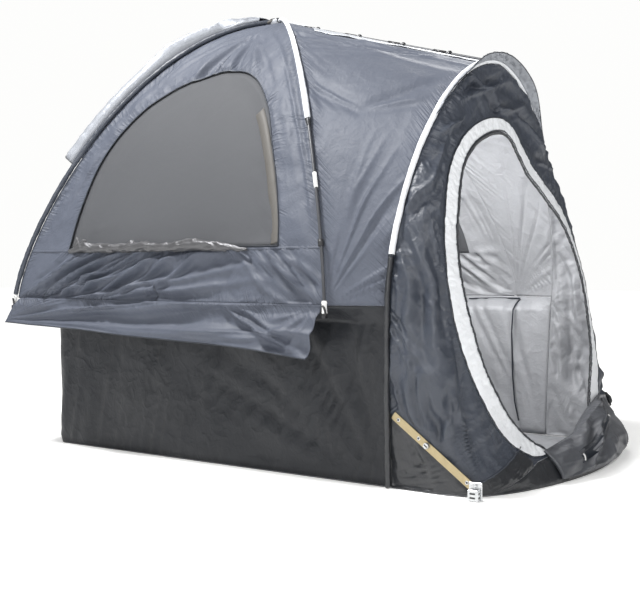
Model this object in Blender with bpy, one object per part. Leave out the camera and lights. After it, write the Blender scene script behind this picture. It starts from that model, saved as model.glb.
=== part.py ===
"""Tent for an open pickup bed: a two-pole dome, an arched rear extension, a tub floor and side skirts.

Metres, Z up. The door faces -Y and the window wall seen first is on -X. The floor lies on z = 0.
"""

import math

import bmesh
import bpy
import numpy as np
from mathutils import Vector

GAP = 0.0003

TUB_HALF_W = 0.645
DOME_HALF_W = 0.750
RAIL_Z = 0.590
DOME_REAR_Y = 0.200
DOME_FRONT_Y = 1.715
DOME_Y = (DOME_REAR_Y + DOME_FRONT_Y) / 2
DOME_HALF_L = (DOME_FRONT_Y - DOME_REAR_Y) / 2
APEX_Z = 1.735
ARCH_Z = 1.455
ARCH_HALF_W = 0.675
ARCH_SPRING_Z = 0.620
TAIL_D = 0.300
TAIL_TOP_Z = 1.420
SILL_BULGE = 0.140
SILL_Z = 0.088
TUB_FRONT_Y = 1.615
FLARE = 0.100
PANEL_T = 0.005
FLOOR_T = 0.004
HUB_R = 0.035
POLE_R = 0.0055
SLEEVE_R = 0.0120
FRONT_SLEEVE_R = 0.0102
ARCH_SLEEVE_R = 0.0100
SLEEVE_END_Z = 1.215
ARCH_SLEEVE_END_Z = 0.745
EAVE_D = 0.034
VISOR_RISE = 0.056
EAVE_FLARE = 0.022
WINDOW_BOTTOM_Z = 0.785

FABRIC = (0.105, 0.115, 0.140)
FABRIC_DARK = (0.052, 0.057, 0.070)
SILVER = (0.640, 0.650, 0.665)
MESH_GREY = (0.190, 0.195, 0.205)
BLACK = (0.018, 0.018, 0.021)
GOLD = (0.520, 0.420, 0.220)
METAL = (0.560, 0.570, 0.580)
WHITE = (0.860, 0.860, 0.850)

for old in list(bpy.data.objects):
    bpy.data.objects.remove(old)

cutters = bpy.data.collections.new("cutters")
bpy.context.scene.collection.children.link(cutters)
cutters.hide_render = True


def material(name, colour, rough, metal=0.0):
    made = bpy.data.materials.new(name)
    made.use_nodes = True
    shader = made.node_tree.nodes["Principled BSDF"]
    shader.inputs["Base Color"].default_value = (*colour, 1)
    shader.inputs["Roughness"].default_value = rough
    shader.inputs["Metallic"].default_value = metal
    made.diffuse_color = (*colour, 1)
    return made


def link(name, mesh, colour, rough=0.8, metal=0.0):
    made = bpy.data.objects.new(name, mesh)
    bpy.context.scene.collection.objects.link(made)
    mesh.materials.append(material(name, colour, rough, metal))
    return made


def mesh_from(name, points, faces):
    """A mesh whose faces all look outwards."""
    mesh = bpy.data.meshes.new(name)
    mesh.from_pydata([tuple(float(c) for c in p) for p in points], [], faces)
    work = bmesh.new()
    work.from_mesh(mesh)
    bmesh.ops.recalc_face_normals(work, faces=work.faces)
    work.to_mesh(mesh)
    work.free()
    return mesh


def shell(outer, inner):
    """Closed solid between two grids of points of one shape."""
    rows, cols = outer.shape[:2]
    points = np.vstack([outer.reshape(-1, 3), inner.reshape(-1, 3)])
    base = rows * cols

    def at(i, j, side):
        return i * cols + j + side * base

    faces = []
    for i in range(rows - 1):
        for j in range(cols - 1):
            faces.append((at(i, j, 0), at(i, j + 1, 0), at(i + 1, j + 1, 0), at(i + 1, j, 0)))
            faces.append((at(i, j, 1), at(i + 1, j, 1), at(i + 1, j + 1, 1), at(i, j + 1, 1)))
    for i in range(rows - 1):
        faces.append((at(i, 0, 0), at(i + 1, 0, 0), at(i + 1, 0, 1), at(i, 0, 1)))
        faces.append((at(i, cols - 1, 0), at(i, cols - 1, 1), at(i + 1, cols - 1, 1), at(i + 1, cols - 1, 0)))
    for j in range(cols - 1):
        faces.append((at(0, j, 0), at(0, j, 1), at(0, j + 1, 1), at(0, j + 1, 0)))
        faces.append((at(rows - 1, j, 0), at(rows - 1, j + 1, 0), at(rows - 1, j + 1, 1), at(rows - 1, j, 1)))
    return points, faces


def normals(grid, towards):
    """Unit normals of a grid, on the side away from the point or direction given."""
    du = np.gradient(grid, axis=0)
    dv = np.gradient(grid, axis=1)
    n = np.cross(du, dv)
    n /= np.maximum(np.linalg.norm(n, axis=2, keepdims=True), 1e-12)
    flip = np.sum(n * (grid - towards), axis=2) < 0
    n[flip] *= -1
    return n


def mirror(points):
    return points * np.array([-1, 1, 1])


def prism(name, outline, axis, lo, hi):
    """A straight cutter: outline is a list of (across, up) and axis is 0 for X or 1 for Y."""
    points = []
    for depth in (lo, hi):
        for a, b in outline:
            points.append((depth, a, b) if axis == 0 else (a, depth, b))
    n = len(outline)
    faces = [tuple(range(n)), tuple(range(n, 2 * n))]
    faces += [(i, (i + 1) % n, (i + 1) % n + n, i + n) for i in range(n)]
    made = bpy.data.objects.new(name, mesh_from(name, points, faces))
    cutters.objects.link(made)
    made.hide_render = True
    made.display_type = "WIRE"
    return made


def boolean(target, other, operation):
    step = target.modifiers.new(operation.lower(), "BOOLEAN")
    step.operation = operation
    step.solver = "EXACT"
    step.object = other
    return step


def grown(outline, amount):
    """The closed outline moved outwards by the amount."""
    pts = np.array(outline, float)
    step = np.roll(pts, -1, axis=0) - pts
    step /= np.linalg.norm(step, axis=1, keepdims=True)
    side = np.stack([step[:, 1], -step[:, 0]], 1)
    out = side + np.roll(side, 1, axis=0)
    out *= 2 / np.sum(out * out, axis=1, keepdims=True)
    if np.sum(pts[:, 0] * np.roll(pts[:, 1], -1) - pts[:, 1] * np.roll(pts[:, 0], -1)) < 0:
        out = -out
    return [tuple(p) for p in pts + out * amount]


def smooth_path(points, steps):
    """Catmull-Rom curve through the points."""
    pts = np.array(points, float)
    ends = np.vstack([2 * pts[0] - pts[1], pts, 2 * pts[-1] - pts[-2]])
    out = []
    for i in range(1, len(ends) - 2):
        p0, p1, p2, p3 = ends[i - 1 : i + 3]
        for s in range(steps):
            t = s / steps
            out.append(
                0.5
                * (2 * p1 + (p2 - p0) * t + (2 * p0 - 5 * p1 + 4 * p2 - p3) * t**2
                   + (3 * p1 - p0 - 3 * p2 + p3) * t**3)
            )
    out.append(pts[-1])
    return np.array(out)


def tube(name, path, radius, colour, rough=0.6, metal=0.0, radii=None, sides=3):
    curve = bpy.data.curves.new(name, "CURVE")
    curve.dimensions = "3D"
    line = curve.splines.new("POLY")
    line.points.add(len(path) - 1)
    for i, p in enumerate(path):
        line.points[i].co = (*[float(c) for c in p], 1)
        line.points[i].radius = 1.0 if radii is None else float(radii[i])
    curve.bevel_depth = radius
    curve.bevel_resolution = sides
    curve.use_fill_caps = True
    made = bpy.data.objects.new(name, curve)
    bpy.context.scene.collection.objects.link(made)
    curve.materials.append(material(name, colour, rough, metal))
    return made


def box(name, corners_low, corners_high, colour, rough=0.5, metal=0.0):
    """A solid with two four-cornered ends."""
    points = [*corners_low, *corners_high]
    faces = [(0, 1, 2, 3), (4, 5, 6, 7)] + [(i, (i + 1) % 4, (i + 1) % 4 + 4, i + 4) for i in range(4)]
    return link(name, mesh_from(name, points, faces), colour, rough, metal)


# The bent shapes. k runs from 0 at the rail to 1 at the apex.


def dome_reach(k):
    return (1 - min(max(k, 0), 1) ** 1.35) ** (1 / 1.8)


def dome_seam(k, sx, sy, inset=0.0):
    r = dome_reach(k)
    wide = (DOME_HALF_W - inset) * r
    long = (DOME_HALF_L - inset) * r
    return np.array([sx * wide, DOME_Y + sy * long, RAIL_Z + k * (APEX_Z - inset - RAIL_Z)])


def arch_y(z):
    return 0.02 - 0.07 * (min(max(z, 0), ARCH_Z) / ARCH_Z) ** 2


def arch_half(z):
    if z <= ARCH_SPRING_Z:
        return TUB_HALF_W + (ARCH_HALF_W - TUB_HALF_W) * z / ARCH_SPRING_Z
    k = min((z - ARCH_SPRING_Z) / (ARCH_Z - ARCH_SPRING_Z), 1)
    return ARCH_HALF_W * (1 - k**1.7) ** (1 / 1.9)


def tail_depth(z):
    return TAIL_D * (1 - min(z / TAIL_TOP_Z, 1) ** 1.3) + 0.012


def tail_power(z):
    t = min(max(z / 1.15, 0), 1)
    return 8 * (1 - t) + 2.2 * t


def tail_row(z, count):
    """Points across the door wall at one height, from the left leg round to the right leg."""
    n = tail_power(z)
    phi = np.linspace(0, math.pi, 721)
    c = np.cos(phi)
    s = np.sin(phi)
    x = -np.sign(c) * np.abs(c) ** (2 / n)
    y = np.clip(s, 0, 1) ** (2 / n)
    w = arch_half(z)
    bulge = SILL_BULGE * math.exp(-((z / 0.12) ** 2))
    px = w * x
    py = arch_y(z) - tail_depth(z) * y - bulge * (1 - x * x)
    length = np.concatenate([[0], np.cumsum(np.hypot(np.diff(px), np.diff(py)))])
    at = np.linspace(0, length[-1], count)
    return np.stack([np.interp(at, length, px), np.interp(at, length, py), np.full(count, z)], 1)


def dome_side(name, left, k_rows, colour, thick=PANEL_T, lift=0.0, cols=2):
    """A dome wall between two poles: left, right or front."""
    outer = np.zeros((len(k_rows), cols, 3))
    inner = np.zeros((len(k_rows), cols, 3))
    ends = {"left": ((-1, -1), (-1, 1)), "right": ((1, -1), (1, 1)), "front": ((-1, 1), (1, 1))}[left]
    for i, k in enumerate(k_rows):
        for grid, inset in ((outer, -lift), (inner, thick - lift)):
            a = dome_seam(k, *ends[0], inset)
            b = dome_seam(k, *ends[1], inset)
            u = (b - a) / np.linalg.norm(b - a)
            a = a + u * GAP * 0.7
            b = b - u * GAP * 0.7
            for j in range(cols):
                grid[i, j] = a + (b - a) * j / (cols - 1)
    return outer, inner


top_k = (1 - (HUB_R * 0.86 / math.hypot(DOME_HALF_W, DOME_HALF_L)) ** 1.8) ** (1 / 1.35)
k_rows = [0.0008] + [math.sin(t) * top_k for t in np.linspace(0.06, math.pi / 2, 25)]

# Side and front walls of the dome with their windows.

window_side = smooth_path(
    [
        (1.452, 0.786), (1.442, 0.930), (1.412, 1.120), (1.350, 1.258), (1.255, 1.365),
        (1.130, 1.436), (0.990, 1.470), (0.870, 1.474), (0.770, 1.440), (0.690, 1.375),
        (0.610, 1.270), (0.545, 1.140), (0.485, 1.010), (0.440, 0.880), (0.421, 0.786),
    ],
    3,
)
window_front = smooth_path(
    [
        (-0.400, 0.801), (-0.394, 0.960), (-0.360, 1.100), (-0.290, 1.200), (-0.180, 1.268),
        (0.000, 1.290), (0.180, 1.268), (0.290, 1.200), (0.360, 1.100), (0.394, 0.960), (0.400, 0.801),
    ],
    3,
)


def dome_wall(tag, outline, axis, lo, hi):
    outer, inner = dome_side(tag, tag, k_rows, FABRIC)
    wall = link(f"{'front' if tag == 'front' else 'side'}_wall" + ("" if tag == "front" else "_" + tag),
                mesh_from(tag, *shell(outer, inner)), FABRIC)
    hole = prism(f"cut_window_{tag}", outline, axis, lo, hi)
    boolean(wall, hole, "DIFFERENCE")
    outer, inner = dome_side(tag, tag, k_rows, MESH_GREY, 0.0025, -0.0012)
    mesh = link(f"window_mesh_{tag}", mesh_from("m" + tag, *shell(outer, inner)), MESH_GREY, 0.9)
    small = prism(f"keep_window_{tag}", grown(outline, -GAP * 1.8), axis, lo, hi)
    boolean(mesh, small, "INTERSECT")


dome_wall("left", window_side, 0, -1.0, -0.15)
dome_wall("right", window_side, 0, 0.15, 1.0)
dome_wall("front", window_front, 1, 1.2, 2.2)

# Extension roof and sides: straight runs from the dome's rear seam to the arch.


def extension_point(k, v, inset):
    a = dome_seam(k, -1, -1, inset)
    z = RAIL_Z + k * (ARCH_Z - inset - RAIL_Z)
    half = arch_half(min(z + inset, ARCH_Z)) - inset * (1 - k) * 0.9
    b = np.array([-max(half, 0.0), arch_y(z) + GAP, z])
    u = (b - a) / np.linalg.norm(b - a)
    a = a + u * GAP * 0.7
    reach = math.hypot(a[0], a[1] - DOME_Y)
    if reach < HUB_R * 0.86:
        a = a + u * (math.sqrt((HUB_R * 0.86) ** 2 - a[0] ** 2) - abs(a[1] - DOME_Y)) / abs(u[1])
    return a + (b - a) * v


ext_k = [math.sin(t) for t in np.linspace(0.0, math.pi / 2, 25)]
ext_v = np.linspace(0, 1, 7)


def extension(side):
    sets = []
    for inset in (0.0, PANEL_T):
        grid = np.array([[extension_point(k, v, inset) for v in ext_v] for k in ext_k])
        grid[0, :, 2] += 0.0008
        grid[:, :, 0] = np.minimum(grid[:, :, 0], -GAP / 2)
        sets.append(grid if side == "left" else mirror(grid))
    return link(f"extension_{side}", mesh_from(side, *shell(*sets)), FABRIC)


extension("left")
extension("right")

# The door wall, one skin from leg to leg, with the trim ring and the black sill cut from it.

tail_z = [FLOOR_T + GAP, 0.03, 0.06, 0.09, 0.12, 0.16, 0.22, 0.3, 0.4, 0.5, 0.6]
tail_z += [0.6 + (ARCH_Z - 0.0008 - 0.6) * math.sin(t) for t in np.linspace(0.13, math.pi / 2, 16)]


def tail_skin(thick, proud):
    mid = np.array([tail_row(z, 57) for z in tail_z])
    n = normals(mid, np.array([0, 0.4, 0.5]))
    n[0, :, 2] = 0
    n[-1, :, 2] = 0
    for col in (0, -1):
        n[:, col, 1] = 0
        n[:, col, 2] = 0
        n[:, col, 0] = -1 if col == 0 else 1
    outer = mid + n * proud
    inner = mid - n * (thick - proud)
    inner[-1, :, 2] = mid[-1, :, 2]
    return shell(outer, inner)


door_outline = smooth_path(
    [
        (-0.20, 0.092), (-0.338, 0.095), (-0.425, 0.155), (-0.500, 0.255), (-0.560, 0.370),
        (-0.590, 0.500), (-0.596, 0.650), (-0.570, 0.800), (-0.526, 0.918), (-0.460, 1.040),
        (-0.342, 1.155), (-0.210, 1.222), (-0.070, 1.248), (0.030, 1.228), (0.100, 1.160),
        (0.165, 1.090), (0.290, 1.020), (0.420, 0.940), (0.520, 0.820), (0.580, 0.650),
        (0.590, 0.500), (0.560, 0.370), (0.500, 0.255), (0.425, 0.155), (0.338, 0.095), (0.20, 0.092),
    ],
    3,
)
door_clear = smooth_path(
    [
        (-0.130, 0.094), (-0.240, 0.104), (-0.330, 0.175), (-0.400, 0.255), (-0.480, 0.380),
        (-0.514, 0.487), (-0.536, 0.650), (-0.520, 0.790), (-0.478, 0.900), (-0.400, 1.040),
        (-0.300, 1.130), (-0.180, 1.184), (-0.070, 1.204), (-0.005, 1.186), (0.050, 1.130),
        (0.110, 1.062), (0.240, 0.985), (0.380, 0.900), (0.475, 0.790), (0.524, 0.650),
        (0.512, 0.487), (0.480, 0.380), (0.400, 0.255), (0.330, 0.175), (0.240, 0.104), (0.130, 0.094),
    ],
    3,
)
sill_line = [(-0.625, -0.02), (-0.55, 0.012), (-0.44, 0.045), (-0.335, SILL_Z - 0.012), (-0.2, SILL_Z),
             (0.2, SILL_Z), (0.335, SILL_Z - 0.012), (0.44, 0.045), (0.55, 0.012), (0.625, -0.02)]

door_wall = link("door_wall", mesh_from("door_wall", *tail_skin(PANEL_T, 0)), FABRIC_DARK)
boolean(door_wall, prism("cut_door", door_outline, 1, -1, 0.005), "DIFFERENCE")
boolean(door_wall, prism("cut_sill", sill_line, 1, -1, -0.1), "DIFFERENCE")

trim = link("door_trim", mesh_from("door_trim", *tail_skin(PANEL_T + 0.002, 0.0012)), SILVER, 0.5)
boolean(trim, prism("keep_trim", grown(door_outline, -GAP), 1, -1, 0.004), "INTERSECT")
boolean(trim, prism("cut_trim", door_clear, 1, -1.1, 0.1), "DIFFERENCE")
low_edge = [(-0.235, -0.1), (-0.235, 0.2), (0.235, 0.2), (0.235, -0.1)]
boolean(trim, prism("cut_trim_low", low_edge, 1, -1.2, 0.2), "DIFFERENCE")

sill = link("door_sill", mesh_from("door_sill", *tail_skin(PANEL_T, 0)), BLACK)
boolean(sill, prism("keep_sill", grown(sill_line, -GAP * 1.5), 1, -1, -0.1), "INTERSECT")

# Floor and tub.

corner_r = 0.06


def tub_path(offset, inset, count_side=14, count_corner=5, count_front=12):
    """Left leg to front corner, across and back, at one offset from the tub's own outline."""
    w = TUB_HALF_W - inset
    f = TUB_FRONT_Y - inset
    r = corner_r
    pts = []
    for t in np.linspace(0, 1, count_side):
        pts.append((-w, 0.0 + t * (f - r), 0))
    for a in np.linspace(0, math.pi / 2, count_corner + 2)[1:-1]:
        pts.append((-w + r - r * math.cos(a), f - r + r * math.sin(a), 0))
    for t in np.linspace(0, 1, count_front):
        pts.append((-(w - r) + t * 2 * (w - r), f, 0))
    left = pts[: count_side + count_corner]
    pts += [(-p[0], p[1], 0) for p in left[::-1]]
    return pts


def tub_grid(inset):
    z_rows = [FLOOR_T + GAP, 0.15, 0.30, 0.45, 0.535, 0.560, 0.5845 + inset]
    spread = [0, 0, 0, 0, 0.0, 0.35, 1.0]
    rows = []
    for z, s in zip(z_rows, spread):
        row = []
        for x, y, _ in tub_path(0, inset):
            start = arch_y(z) + GAP
            yy = start + (y - 0.0) * (TUB_FRONT_Y - inset - start) / (TUB_FRONT_Y - inset)
            lean = (arch_half(z) - TUB_HALF_W) * max(0, 1 - (yy - start) / 0.18)
            g = min(max((yy - start) / (DOME_REAR_Y - start), 0), 1)
            side = 1 if x > 0 else -1
            full = DOME_HALF_W - 0.001 - TUB_HALF_W
            fy = max(0, (yy - (TUB_FRONT_Y - 0.4)) / 0.4)
            px = x + side * (s * full * g + lean) * min(abs(x) / (TUB_HALF_W - corner_r), 1)
            py = yy + s * FLARE * fy**2 * 0.98
            row.append((px, py, z))
        rows.append(row)
    return np.array(rows)


tub_outer = tub_grid(0.0)
tub_inner = tub_grid(0.004)
link("tub_wall", mesh_from("tub_wall", *shell(tub_outer, tub_inner)), FABRIC)

floor_front = tail_row(FLOOR_T + GAP, 57)[:, :2]
floor_back = [(x, y) for x, y, _ in tub_outer[0][::-1]]
floor_rim = [tuple(p) for p in floor_front] + floor_back[1:-1]
points = [(x, y, 0.0) for x, y in floor_rim] + [(x, y, FLOOR_T) for x, y in floor_rim]
n = len(floor_rim)
faces = [tuple(range(n)), tuple(range(n, 2 * n))]
faces += [(i, (i + 1) % n, (i + 1) % n + n, i + n) for i in range(n)]
link("floor", mesh_from("floor", points, faces), BLACK)

# Skirts that hang outside the bed, on the left, the right and the front.

skirt_top = [(DOME_REAR_Y + 0.016, 0.592), (0.6, 0.592), (1.1, 0.592), (DOME_FRONT_Y - 0.022, 0.592)]
skirt_hem = [(0.248, 0.412), (0.56, 0.440), (1.1, 0.462), (1.752, 0.492)]


def skirt(side):
    sx = -1 if side == "left" else 1
    top = smooth_path(skirt_top, 4)
    hem = smooth_path(skirt_hem, 4)
    rows_out, rows_in = [], []
    for f in np.linspace(0, 1, 6):
        out_row, in_row = [], []
        for a, b in zip(top, hem):
            y, z = a + (b - a) * f
            x = DOME_HALF_W + GAP + 0.026 * f**1.3
            out_row.append((sx * (x + 0.004), y, z))
            in_row.append((sx * x, y, z))
        rows_out.append(out_row)
        rows_in.append(in_row)
    grids = np.array(rows_out), np.array(rows_in)
    return link(f"skirt_{side}", mesh_from("skirt", *shell(*grids)), FABRIC)


skirt("left")
skirt("right")
rows_out, rows_in = [], []
for f in np.linspace(0, 1, 6):
    out_row, in_row = [], []
    for x in np.linspace(-DOME_HALF_W + 0.012, DOME_HALF_W - 0.012, 15):
        y = DOME_FRONT_Y + GAP + 0.030 * f**1.3
        z = 0.592 - 0.105 * f
        out_row.append((x, y + 0.004, z))
        in_row.append((x, y, z))
    rows_out.append(out_row)
    rows_in.append(in_row)
link("skirt_front", mesh_from("skirt_front", *shell(np.array(rows_out), np.array(rows_in))), FABRIC)

# Poles and their sleeves. Each rides just outside its seam.


def facing(run, along, towards):
    """Unit normal of the panel that holds both directions, on the side given."""
    out = np.cross(run, along)
    if out @ towards < 0:
        out = -out
    return out / np.linalg.norm(out)


def outward_dome(k, sx, sy, offset, second=0.0):
    """A point off the seam by the offset, and by a second one square to the front panel."""
    eps = 0.002
    a = dome_seam(min(k + eps, 1), sx, sy)
    b = dome_seam(max(k - eps, 0), sx, sy)
    here = dome_seam(k, sx, sy)
    run = (a - b) / np.linalg.norm(a - b)
    towards = np.array([sx * 0.5, sy * 0.5, 0.7])
    side = facing(run, np.array([0.0, 1.0, 0.0]), towards)
    if sy > 0:
        other = facing(run, np.array([1.0, 0.0, 0.0]), towards)
    else:
        z = RAIL_Z + k * (ARCH_Z - RAIL_Z)
        far = np.array([sx * arch_half(z), arch_y(z), z])
        other = facing(run, (far - here) / np.linalg.norm(far - here), np.array([sx * 0.5, 0, 0.7]))
    out = side + other
    out /= np.linalg.norm(out)
    return here + out * offset + other * second


def pole_path(sx, sy, k_from, k_to, offset, steps):
    t0, t1 = math.asin(k_from), math.asin(k_to)
    return [outward_dome(math.sin(t), sx, sy, offset) for t in np.linspace(t0, t1, steps)]


def reach_k(distance):
    return (1 - (distance / math.hypot(DOME_HALF_W, DOME_HALF_L)) ** 1.8) ** (1 / 1.35)


hub_k = reach_k(HUB_R + 0.0020)
end_k = (SLEEVE_END_Z - RAIL_Z) / (APEX_Z - RAIL_Z)
for side, sx in (("left", -1), ("right", 1)):
    path = pole_path(sx, -1, end_k, hub_k, SLEEVE_R + 0.0006, 26)
    path.insert(1, outward_dome(end_k + 0.003, sx, -1, SLEEVE_R + 0.0006))
    tube(f"sleeve_rear_{side}", path, SLEEVE_R, WHITE, 0.7)
    path = pole_path(sx, -1, 0.012, end_k - 0.0006, SLEEVE_R + 0.0006, 20)
    path.insert(-1, outward_dome(end_k - 0.0036, sx, -1, SLEEVE_R + 0.0006))
    tube(f"pole_rear_{side}", path, POLE_R, METAL, 0.35, 0.9)
    path = pole_path(sx, 1, 0.012, hub_k, FRONT_SLEEVE_R + 0.0006, 40)
    tube(f"sleeve_front_{side}", path, FRONT_SLEEVE_R, FABRIC_DARK, 0.8)


def arch_axis(z, offset):
    """Left half of the arch, moved outwards in its own plane."""
    e = 0.0015
    a = np.array([-arch_half(min(z + e, ARCH_Z)), min(z + e, ARCH_Z)])
    b = np.array([-arch_half(max(z - e, 0)), max(z - e, 0)])
    run = (a - b) / np.linalg.norm(a - b)
    out = np.array([-run[1], run[0]])
    x = -arch_half(z) + out[0] * offset
    return np.array([x, arch_y(z), z + out[1] * offset])


up_z = [ARCH_SLEEVE_END_Z + (ARCH_Z - ARCH_SLEEVE_END_Z) * math.sin(t) for t in np.linspace(0, math.pi / 2, 30)]
up_z.insert(1, ARCH_SLEEVE_END_Z + 0.003)
half = [arch_axis(z, ARCH_SLEEVE_R + 0.0006) for z in up_z[:-1]]
top = np.array([0, arch_y(ARCH_Z), ARCH_Z + ARCH_SLEEVE_R + 0.0006])
arch_path = half + [top] + [mirror(p) for p in half[::-1]]
tube("arch_sleeve", arch_path, ARCH_SLEEVE_R, WHITE, 0.7)
for side, sx in (("left", 1), ("right", -1)):
    leg_z = [*np.linspace(0.004, ARCH_SLEEVE_END_Z - 0.06, 12), ARCH_SLEEVE_END_Z - 0.0034,
             ARCH_SLEEVE_END_Z - 0.0006]
    run = [arch_axis(z, ARCH_SLEEVE_R + 0.0006 + 0.0012 * min(max((0.70 - z) / 0.08, 0), 1))
           * np.array([sx, 1, 1]) for z in leg_z]
    tube(f"leg_channel_{side}", run, ARCH_SLEEVE_R, BLACK, 0.8)

hub = bpy.data.meshes.new("hub")
work = bmesh.new()
bmesh.ops.create_cone(work, cap_ends=True, segments=32, radius1=HUB_R, radius2=HUB_R, depth=0.024)
for v in work.verts:
    v.co += Vector((0, DOME_Y, APEX_Z - 0.0006 + 0.012))
work.to_mesh(hub)
work.free()
link("crown_hub", hub, SILVER, 0.5)

# Silver strip over the ridge, the ridge pole on it, the eave of the arch and the front visor.

strip_k = [k for k in ext_k if k >= 0.96]
strip_v = np.linspace(0.165, 0.965, 7)
left_half = np.array([[extension_point(k, v, 0.0) for v in strip_v] for k in strip_k])
grid = np.vstack([left_half, mirror(left_half[:-1][::-1])])
n = normals(grid, np.array([0, 0.4, 0.0]))
link("roof_strip", mesh_from("roof_strip", *shell(grid + n * 0.0042, grid + n * 0.0012)), SILVER, 0.5)

ridge_n = np.array([0, -(APEX_Z - ARCH_Z), (DOME_Y + 0.05)])
ridge_n /= np.linalg.norm(ridge_n)
ridge_a = np.array([0, DOME_Y, APEX_Z]) + ridge_n * (0.0042 + POLE_R + 0.0006)
ridge_b = np.array([0, arch_y(ARCH_Z), ARCH_Z]) + ridge_n * (0.0042 + POLE_R + 0.0006)
ridge_u = (ridge_b - ridge_a) / np.linalg.norm(ridge_b - ridge_a)
total = np.linalg.norm(ridge_b - ridge_a)
ridge_run = [ridge_a + ridge_u * d for d in np.linspace(HUB_R + 0.0010, total - ARCH_SLEEVE_R - 0.0050, 8)]
tube("ridge_pole", ridge_run, POLE_R, METAL, 0.35, 0.9)

eave_z = [ARCH_SLEEVE_END_Z + (ARCH_Z - ARCH_SLEEVE_END_Z) * math.sin(t) for t in np.linspace(0, math.pi / 2, 26)]


def eave_ring(offset, forward):
    half = [arch_axis(z, offset) for z in eave_z[:-1]]
    line = half + [np.array([0, arch_y(ARCH_Z), ARCH_Z + offset])] + [mirror(p) for p in half[::-1]]
    line = np.array(line)
    line[:, 1] -= forward
    return line


eave = []
for layer in (0.0035, 0.0):
    rings = []
    for f in np.linspace(0, 1, 4):
        rings.append(eave_ring(0.0112 + layer + EAVE_FLARE * f, ARCH_SLEEVE_R + GAP + EAVE_D * f))
    eave.append(np.array(rings))
link("arch_eave", mesh_from("arch_eave", *shell(*eave)), SILVER, 0.5)

visor_k = [0.47 + (reach_k(0.075) - 0.47) * math.sin(t) for t in np.linspace(0, math.pi / 2, 14)]
edge_f = [0.0, 0.012, 0.03, 0.055, 0.09, 0.14, 0.21, 0.3, 0.4]
visor_f = edge_f + [0.5] + [1 - f for f in edge_f[::-1]]
offset = FRONT_SLEEVE_R + 0.0006
lift = FRONT_SLEEVE_R + 0.0016
visor = []
for i, k in enumerate(visor_k):
    near = outward_dome(k, -1, 1, offset, lift)
    far = outward_dome(k, 1, 1, offset, lift)
    diag = outward_dome(k, -1, 1, 1.0) - dome_seam(k, -1, 1)
    run = dome_seam(k + 0.002, 0, 1) - dome_seam(k - 0.002, 0, 1)
    front = facing(run, np.array([1.0, 0.0, 0.0]), np.array([0.0, 0.5, 0.7]))
    span = min(abs(near[0]) / 0.30, 1)
    spread = float(np.interp(k, [0.47, 0.85], [1.30, 0.88]))
    row = []
    for f in visor_f:
        g = min(f, 1 - f)
        rise = VISOR_RISE * spread * span * math.sqrt(1 - (1 - min(g / 0.10, 1)) ** 2)
        turn = min(g / 0.14, 1) ** 0.8
        out = (diag if f <= 0.5 else mirror(diag)) * (1 - turn) + front * turn
        out /= np.linalg.norm(out)
        row.append(near + (far - near) * f + out * rise + front * 0.028 * span * math.sin(math.pi * f) ** 2)
    visor.append(row)
visor = np.array(visor)
n = normals(visor, np.array([0, DOME_Y, 0.4]))
link("front_visor", mesh_from("front_visor", *shell(visor + n * 0.0030, visor)), SILVER, 0.5)

# Rolled window covers along the sills of the two side windows.


def rolled(name, sx):
    y_run = np.linspace(0.62, 1.40, 18)
    path, radii = [], []
    for i, y in enumerate(y_run):
        k = (WINDOW_BOTTOM_Z - RAIL_Z) / (APEX_Z - RAIL_Z)
        x = DOME_HALF_W * dome_reach(k) + 0.0188
        path.append((sx * x, y, WINDOW_BOTTOM_Z + 0.001))
        bump = 0.75 + 0.25 * math.exp(-(((y - 0.78) / 0.10) ** 2)) + 0.06 * math.sin(y * 31)
        if i in (0, len(y_run) - 1):
            bump *= 0.55
        radii.append(min(bump, 1.0))
    return tube(name, path, 0.0195, SILVER, 0.45, 0.0, radii)


rolled("window_cover_left", -1)
rolled("window_cover_right", 1)

# The unzipped door panel, gathered and draped over the sill to the right of the doorway.

bunch_x = np.linspace(-0.26, 0.575, 29)
bunch_s = np.linspace(0, 1, 11)
BUNCH_LOW_Z = 0.012
bunch_top = np.interp(bunch_x, [-0.26, 0.02, 0.30, 0.45, 0.575], [0.098, 0.118, 0.180, 0.212, 0.200])


def skin_at(x, z):
    row = tail_row(z, 241)
    j = int(np.argmin(np.abs(row[60:181, 0] - x))) + 60
    a, b = (row[j - 1], row[j]) if row[j, 0] > x else (row[j], row[j + 1])
    t = (x - a[0]) / (b[0] - a[0])
    return a + (b - a) * t


base = []
for s in bunch_s:
    base.append([skin_at(x, BUNCH_LOW_Z + (top - BUNCH_LOW_Z) * s) for x, top in zip(bunch_x, bunch_top)])
base = np.array(base)
n = normals(base, np.array([0, 0.4, 0.1]))
along = np.sin(np.linspace(0.16, math.pi - 0.16, len(bunch_x))) ** 0.5
round_off = np.sin(np.linspace(0.30, math.pi - 0.15, len(bunch_s))) ** 0.6
fat = (0.012 + 0.042 * round_off[:, None]) * along[None, :]
shape = shell(base + n * (0.0032 + fat[:, :, None]), base + n * 0.0032)
link("door_panel", mesh_from("door_panel", *shape), BLACK, 0.5)

# Feet, clips and the tailgate stays.


def tip(side, tag, sx, sy):
    off = (SLEEVE_R if sy < 0 else FRONT_SLEEVE_R) + 0.0006
    foot = outward_dome(0.012, sx, sy, off)
    above = outward_dome(0.030, sx, sy, off)
    down = (foot - above) / np.linalg.norm(foot - above)
    path = [foot + down * 0.0006, foot + down * 0.042]
    tube(f"pole_tip_{tag}_{side}", path, 0.0085, WHITE, 0.5)
    x, y, z = foot + down * 0.0432
    a = [(x - 0.007, y - 0.007, z - 0.013), (x + 0.007, y - 0.007, z - 0.013),
         (x + 0.007, y + 0.007, z - 0.013), (x - 0.007, y + 0.007, z - 0.013)]
    b = [(px, py, z - 0.0004) for px, py, _ in a]
    box(f"foot_pin_{tag}_{side}", a, b, BLACK, 0.5)


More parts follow.
